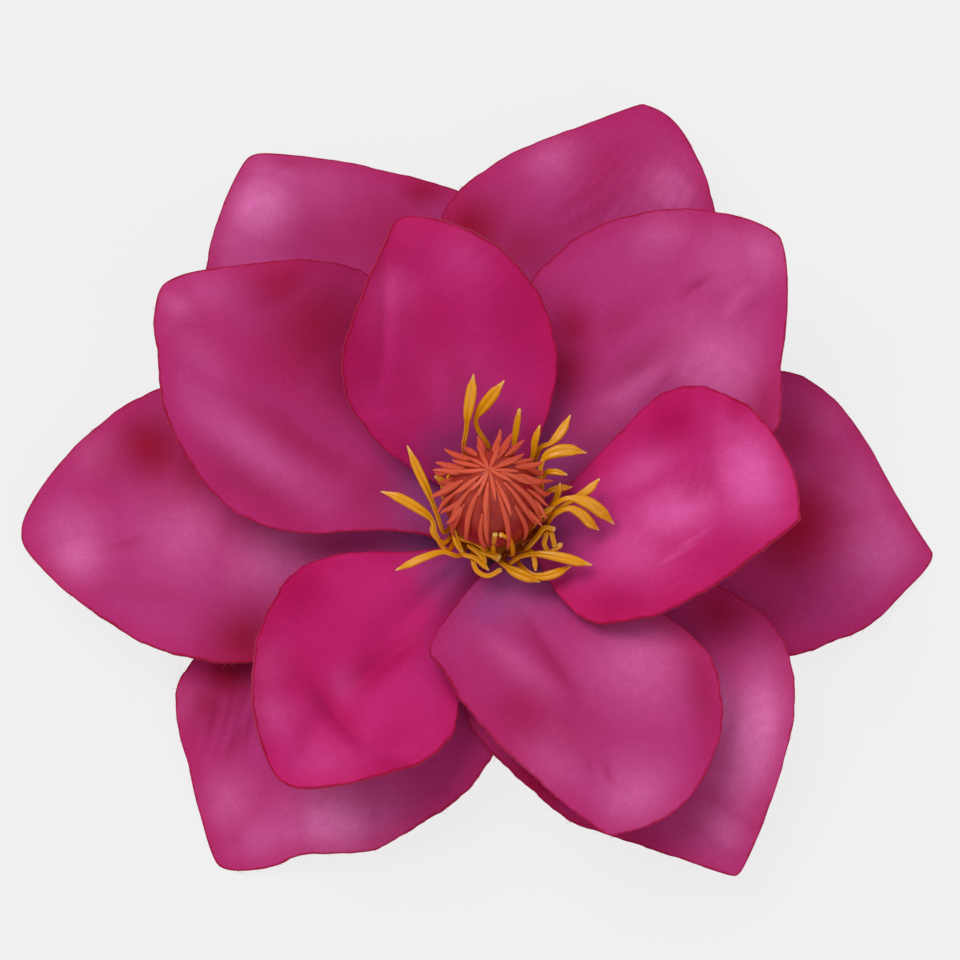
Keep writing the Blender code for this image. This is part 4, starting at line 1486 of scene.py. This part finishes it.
@dataclass
class StyleCone:
    """The moulded cone and the styles that lie on it. Lengths are in mm.

    Attributes:
        foot: The height where it stands.
        height: Its height.
        foot_radius: Its radius at the foot.
        foot_round: The power of the curve from there to the widest.
        radius: Its radius at the widest.
        widest: The part of the height where that is.
        shoulder: How long the curve above the widest stays full.
        apex: How round its top is.
        lean: How far it leans, in degrees.
        lean_azimuth: The way that it leans.
        rings: Rings of corners on the cone.
        ring_sides: Corners in each.
        points: Places along a style.
        sides: Corners round it.
        tip_radius: The radius of its ends.
        clear: How far the styles lie off the cone.
        seed: The seed of the draws.
        tiers: The rings of styles.
    """

    foot: float = 16.6
    height: float = 14.8
    foot_radius: float = 2.6
    foot_round: float = 0.6
    radius: float = 6.4
    widest: float = 0.38
    shoulder: float = 1.8
    apex: float = 0.62
    lean: float = 10.0
    lean_azimuth: float = 105.0
    rings: int = 60
    ring_sides: int = 96
    points: int = 34
    sides: int = 10
    tip_radius: float = 0.05
    clear: float = 0.08
    seed: int = 11
    tiers: tuple[Tier, ...] = (
        Tier(10, 20, 360, 1.0, 0.9, 1.3, 0.33, 3),
        Tier(8, 8, 360, 0.97, 0.78, 1.5, 0.4, 3),
        Tier(6, 205, 150, 0.94, 0.4, 0.8, 0.4, 6),
        Tier(4, 215, 120, 0.76, 0.24, 0.7, 0.34, 6),
        Tier(12, -5, 200, 0.86, 0.64, 2.2, 0.5, 3),
        Tier(7, 150, 75, 0.72, 0.46, 1.9, 0.42, 8),
        Tier(6, 320, 70, 0.74, 0.44, 1.7, 0.42, 6),
    )

    def profile(self, part: np.ndarray) -> np.ndarray:
        """The cone's radius: below the widest by a power of a sine, above it a rounded fall.

        Args:
            part: Parts of the height.

        Returns:
            The radius at each, in mm.
        """
        swell = np.sin(np.pi / 2 * np.clip(part / self.widest, 0, 1)) ** self.foot_round
        low = self.foot_radius + (self.radius - self.foot_radius) * swell
        rest = np.clip((part - self.widest) / (1 - self.widest), 0, 1)
        high = self.radius * (1 - rest**self.shoulder) ** self.apex
        return np.where(part < self.widest, low, high)

    def cone(self) -> Shell:
        """The egg that the styles lie on.

        Returns:
            The closed egg, standing on the origin.
        """
        part = np.sin(np.linspace(1, 0, self.rings) * np.pi / 2)
        profile = np.stack([self.profile(part), part * self.height], axis=1)
        return lathe(profile * MM, self.ring_sides, {"along": 0.08 + 0.16 * part})

    def tier(self, tier: Tier, draw: np.random.Generator) -> Shell:
        """One ring of styles.

        Each runs down the egg from the tier's start to its foot on a waved azimuth. Its tip
        stands off by a lift that grows as a power of the way along. Its width is a power of a
        sine, which runs out to a point at both ends.

        Args:
            tier: The ring's sizes.
            draw: The cone's seeded random numbers.

        Returns:
            The closed styles, with the cone standing on the origin.
        """
        count = tier.count
        one = (count, 1)
        azimuth = tier.first + tier.arc * (np.arange(count)[:, None] + 0.5) / count
        azimuth = azimuth + draw.uniform(-0.3, 0.3, one) * tier.arc / count
        t = np.linspace(0, 1, self.points)[None]
        foot = tier.foot + draw.uniform(-0.05, 0.05, one)
        part = tier.start + (foot - tier.start) * t**0.85
        bend = draw.uniform(0.2, 0.7, one) * t * 2 * np.pi + draw.uniform(0, 6.3, one)
        turn = azimuth + tier.sway * draw.uniform(0.5, 1, one) * np.sin(bend) * t
        lift = tier.lift * draw.uniform(0.5, 1.2, one)
        radius = self.profile(part) + self.clear + lift * t**2
        paths = polar(radius, turn, part * self.height + 0.3 * lift * t**2)
        outward = unit(paths - np.array([0, 0, self.widest * self.height]))
        swell = np.sin(np.pi * np.clip(0.04 + 0.96 * t**0.85, 0, 1)) ** 0.7
        girth = tier.girth * draw.uniform(0.85, 1.15, one)
        widths = self.tip_radius + (girth - self.tip_radius) * swell
        along = {"along": 0.45 + 0.5 * np.repeat(t, count, axis=0)}
        return tubes(paths * MM, widths * MM, 0.95 * widths * MM, outward, self.sides, 0.0, along)

    def build(self, finish: Shader, axis: np.ndarray) -> bpy.types.Object:
        """Makes the cone, leaning as its solid does.

        Args:
            finish: Its plastic.
            axis: Where the receptacle's axis meets the surface, in metres.

        Returns:
            The cone and its styles.
        """
        draw = np.random.default_rng(self.seed)
        shell = self.cone()
        for tier in self.tiers:
            shell = shell + self.tier(tier, draw)
        turn = math.radians(self.lean_azimuth)
        lean = Matrix.Rotation(turn, 4, "Z") @ Matrix.Rotation(math.radians(self.lean), 4, "Y")
        lean = lean @ Matrix.Rotation(-turn, 4, "Z")
        lift = Matrix.Translation(Vector(axis) + Vector((0, 0, self.foot * MM)))
        shell = shell.turned_by(lift @ lean)
        return shell.piece("moulded_pistil", finish, Slot.PISTIL, "pistil")


@dataclass(frozen=True)
class CalyxGreen:
    """The finish of the receptacle: waxy green, brown on its stem and plum on its core.

    Attributes:
        green: The colour of its flange.
        brown: The colour of its stem.
        dyed: The colour of its core.
        roughness: How dull it is.
        cloud: The scale of the noise that the colours drift by, in waves a metre.
        rib: The scale of the ribs' noise.
        relief: The ribs' depth, in mm.
    """

    green: Colour = linear(104, 116, 56)
    brown: Colour = linear(112, 84, 50)
    dyed: Colour = linear(92, 22, 58)
    roughness: float = 0.55
    cloud: float = 380.0
    rib: float = 1500.0
    relief: float = 0.12

    def shader(self) -> Shader:
        """Green and brown mixed by noise along it, plum up the core above the flange, with fine ribs.

        Returns:
            The material, which reads the attribute along.
        """
        wax = Shader(Slot.RECEPTACLE.value, Roughness=self.roughness, Specular_IOR_Level=0.4)
        place = wax.place()
        cloud = wax.noise(wax.stretched(place, (1.0, 1.0, 0.35)), self.cloud, 4.0)
        along = wax.attribute("along")
        colour = wax.mix((along + (cloud - 0.5) * 0.8).rise(0.35, 0.9), self.green, self.brown)
        colour = wax.mix(along.fall(-0.35, -0.1), colour, self.dyed)
        wax.set(Base_Color=wax.scaled(colour, 0.8 + cloud * 0.4))
        ribs = wax.noise(wax.stretched(place, (1.0, 1.0, 0.08)), self.rib, 2.0)
        wax.set(Normal=wax.bump(ribs, self.relief * MM, 0.6))
        return wax


@dataclass
class Receptacle:
    """The core that the petals are threaded on, with its flange and cut stem, in mm.

    Attributes:
        core_radius: The core's radius.
        core_top: The height of its top.
        fillet: The size of the broken edges.
        pole: The radius where its ends close.
        flange_radius: The flange's radius.
        flange_top: The height of its upper face.
        flange_edge: The thickness of its rounded edge.
        stem_radius: The cut stem's radius.
        stem_top: The height where the flange has narrowed to it.
        stem_foot: The height of the cut.
        sides: Corners round it.
    """

    core_radius: float = 4.6
    core_top: float = 15.4
    fillet: float = 0.2
    pole: float = 0.4
    flange_radius: float = 7.6
    flange_top: float = 7.1
    flange_edge: float = 0.9
    stem_radius: float = 2.4
    stem_top: float = 3.1
    stem_foot: float = 1.6
    sides: int = 96

    def profile(self) -> np.ndarray:
        """The outline from the top down: the core, the flange and the stem.

        The flange's edge is half a circle. From there the radius narrows to the stem by half a
        cosine wave of the way down.

        Returns:
            Radius and height of each ring, in mm.
        """
        turn = np.linspace(0, np.pi, 9)
        edge = self.flange_edge / 2
        inner = self.flange_radius - edge
        under = self.flange_top - self.flange_edge
        flange = [inner + edge * np.sin(turn), self.flange_top - edge + edge * np.cos(turn)]
        blend = np.linspace(0, 1, 14)[1:]
        ease = (1 - np.cos(np.pi * blend)) / 2
        taper = [inner + (self.stem_radius - inner) * ease, under + (self.stem_top - under) * blend]
        top = [[self.pole, self.core_top], [self.core_radius - self.fillet, self.core_top],
               [self.core_radius, self.core_top - self.fillet],
               [self.core_radius, self.flange_top + self.fillet]]
        foot = [[self.stem_radius, self.stem_foot + self.fillet],
                [self.stem_radius - self.fillet, self.stem_foot], [self.pole, self.stem_foot]]
        return np.concatenate([top, np.transpose(flange), np.transpose(taper), foot])

    def build(self, finish: Shader, axis: np.ndarray) -> bpy.types.Object:
        """Makes the receptacle on its axis.

        Args:
            finish: Its wax.
            axis: Where the axis meets the surface, in metres.

        Returns:
            The receptacle.
        """
        profile = self.profile()
        along = (self.flange_top - profile[:, 1]) / (self.flange_top - self.stem_foot)
        shell = lathe(profile * MM, self.sides, {"along": along})
        shell.points += axis
        return shell.piece("receptacle_body", finish, Slot.RECEPTACLE, "receptacle")


@dataclass
class Frays:
    """The loose fibres along the petals' cut edges. Lengths are in mm.

    Attributes:
        spacing: From fibre to fibre, about.
        shortest: The shortest one's length.
        longest: The longest one's length.
        radius: Their radius at the root.
        inset: How far inside the edge they start.
        first: The part of the petal's length where they start.
        last: The part where they end.
        edge_share: The length of one side's edge, as a share of the petal's length, about.
        inner: The part across of a place inside the edge, which tells the way out.
        step: A small part along, which tells the way on.
        sideways: How far they sweep along the edge, as a share of their length.
        upwards: How far they sweep up or down.
        points: Places along a fibre.
        sides: Corners round it.
    """

    spacing: float = 1.5
    shortest: float = 0.1
    longest: float = 0.9
    radius: float = 0.025
    inset: float = 0.1
    first: float = 0.12
    last: float = 0.99
    edge_share: float = 2.2
    inner: float = 0.97
    step: float = 0.004
    sideways: float = 0.9
    upwards: float = 0.5
    points: int = 6
    sides: int = 3

    def build(self, petal: Petal, finish: Shader, axis: np.ndarray) -> bpy.types.Object:
        """Makes one petal's fibres.

        Each starts just inside the edge and runs outwards, swept sideways and up or down by a
        seeded draw, on a parabola. Most are short: their lengths go by a draw's fifth power.

        Args:
            petal: The petal.
            finish: Its cloth.
            axis: Where the receptacle's axis meets the surface, in metres.

        Returns:
            The fibres.
        """
        draw = np.random.default_rng(len(petal.name) + sum(petal.name.encode()))
        number = 2 * int(self.edge_share * petal.length() / self.spacing)
        along = draw.uniform(self.first, self.last, number)[None]
        across = np.repeat([-1.0, 1.0], number // 2)[None]
        rim = petal.surface(along, across)[0][0]
        inside = petal.surface(along, across * self.inner)[0][0]
        further = petal.surface(along + self.step, across)[0][0]
        outward = unit(rim - inside)
        length = self.shortest + (self.longest - self.shortest) * draw.uniform(0, 1, number) ** 5
        sweep = draw.normal(0, self.sideways, (number, 1)) * unit(further - rim)
        sweep = sweep + draw.normal(0, self.upwards, (number, 1)) * np.array([0, 0, 1])
        t = np.linspace(0, 1, self.points)[None, :, None]
        reach = length[:, None, None] * (t * outward[:, None] + t**2 * sweep[:, None])
        paths = rim[:, None] - self.inset * outward[:, None] + reach
        widths = self.radius * (1.15 - t[..., 0]) * np.ones((number, 1))
        upward = np.broadcast_to(np.array([0.1, 0.2, 1.0]), paths.shape)
        # A fibre is dyed like the cloth just inside the dark line, but paler: it takes half of the
        # painted highlight and sheen.
        one = np.ones((number, self.points))
        values = {"edge": 0.9 * one, "hub": 40 * one, "sheen_and_pale_dye": 0.5 * one, "shade_and_dark_dye": 0 * one}
        shell = tubes(paths * MM, widths * MM, widths * MM, upward, self.sides, 0.0, values)
        shell.points += axis - np.array([0, 0, petal.drop()])
        shell.points[:, 2] = np.maximum(shell.points[:, 2], 0)
        shell.flat = np.zeros((len(shell.points), 2))
        return shell.piece(petal.name + "_frays", finish, petal.cloth.slot)


@dataclass
class Studio:
    """The pale floor, the soft light and the camera. Lengths are in metres.

    Attributes:
        floor_side: The floor's side.
        floor_drop: How far it lies under the bloom.
        floor_grey: How much light it gives back.
        floor_glow: How strongly it gives off light.
        key_place: Where the main light is, from the bloom.
        key_side: Its side.
        key_power: Its power, in watts.
        fill_place: Where the fill light is.
        fill_side: Its side.
        fill_power: Its power.
        sky: The strength of the pale room's light.
        lens: The camera's focal length, in mm.
        sensor: Its sensor's width, in mm.
    """

    floor_side: float = 4.0
    floor_drop: float = 0.02 * MM
    floor_grey: float = 0.07
    floor_glow: float = 0.8
    key_place: tuple[float, float, float] = (-0.5, 0.4, 1.2)
    key_side: float = 0.8
    key_power: float = 11.2
    fill_place: tuple[float, float, float] = (0.5, -0.8, 1.1)
    fill_side: float = 0.9
    fill_power: float = 4.8
    sky: float = 0.42
    lens: float = 150.55
    sensor: float = 36.0

    def floor(self) -> None:
        """A plain pale light table that the bloom lies on, so that its shadow is faint."""
        half, low = self.floor_side / 2, -self.floor_drop
        corners = [(-half, -half, low), (half, -half, low), (half, half, low), (-half, half, low)]
        mesh = bpy.data.meshes.new("floor")
        mesh.from_pydata(corners, [], [(0, 1, 2, 3)])
        glass = Shader(
            "light_table",
            Base_Color=(self.floor_grey, self.floor_grey, self.floor_grey, 1),
            Roughness=0.9,
            Specular_IOR_Level=0.0,
            Emission_Color=(1, 1, 1, 1),
            Emission_Strength=self.floor_glow,
        )
        mesh.materials.append(glass.material)
        obj = bpy.data.objects.new("floor", mesh)
        bpy.context.scene.collection.objects.link(obj)

    def lamp(self, name: str, place: tuple[float, float, float], side: float, power: float) -> None:
        """A square soft light that faces the bloom.

        Args:
            name: The light's name.
            place: Where it is.
            side: Its side.
            power: Its power, in watts.
        """
        data = bpy.data.lights.new(name, "AREA")
        data.shape = "SQUARE"
        data.size = side
        data.energy = power
        obj = bpy.data.objects.new(name, data)
        obj.location = place
        obj.rotation_mode = "QUATERNION"
        obj.rotation_quaternion = (-Vector(place)).to_track_quat("-Z", "Y")
        bpy.context.scene.collection.objects.link(obj)

    def light(self) -> None:
        """A large soft light over the bloom from the upper left, a fill and a pale room."""
        self.lamp("key_light", self.key_place, self.key_side, self.key_power)
        self.lamp("fill_light", self.fill_place, self.fill_side, self.fill_power)
        world = bpy.data.worlds.new("pale_room")
        world.use_nodes = True
        sky = world.node_tree.nodes["Background"]
        sky.inputs["Color"].default_value = (1, 1, 1, 1)
        sky.inputs["Strength"].default_value = self.sky
        bpy.context.scene.world = world

    def camera(self, axis: np.ndarray) -> None:
        """The camera, looking down on the bloom from the front.

        Args:
            axis: Where the receptacle's axis meets the surface, in metres.
        """
        right, up, ahead = SIGHT.ways()
        turn = Matrix(np.stack([right, up, -ahead], axis=1).tolist()).to_4x4()
        data = bpy.data.cameras.new("camera")
        data.sensor_width = self.sensor
        data.lens = self.lens
        data.clip_start = 0.01
        obj = bpy.data.objects.new("camera", data)
        obj.matrix_world = Matrix.Translation(Vector(SIGHT.eye() * MM + axis)) @ turn
        bpy.context.scene.collection.objects.link(obj)
        bpy.context.scene.camera = obj

    def build(self, axis: np.ndarray) -> None:
        """Sets the whole studio up.

        Args:
            axis: Where the receptacle's axis meets the surface, in metres.
        """
        self.floor()
        self.light()
        self.camera(axis)
        bpy.context.scene.view_settings.view_transform = "Standard"


def receptacle_axis() -> np.ndarray:
    """Where the receptacle's axis meets the surface, in metres."""
    low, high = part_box("receptacle")
    return np.array([(low.x + high.x) / 2, (low.y + high.y) / 2, 0])


def main() -> None:
    """Builds the bloom and its studio."""
    logging.basicConfig(level=logging.INFO, format="%(message)s")
    axis = receptacle_axis()
    finishes = {cloth.slot: cloth.shader() for cloth in (OUTER_CLOTH, INNER_CLOTH)}
    frays = Frays()
    for petal in PETALS:
        finish = finishes[petal.cloth.slot]
        petal.build(finish, axis)
        frays.build(petal, finish, axis)
    StamenCollar().build(YELLOW_PLASTIC.shader(), axis)
    StyleCone().build(CORAL_PLASTIC.shader(), axis)
    Receptacle().build(CalyxGreen().shader(), axis)
    Studio().build(axis)


if __name__ == "__main__":
    main()
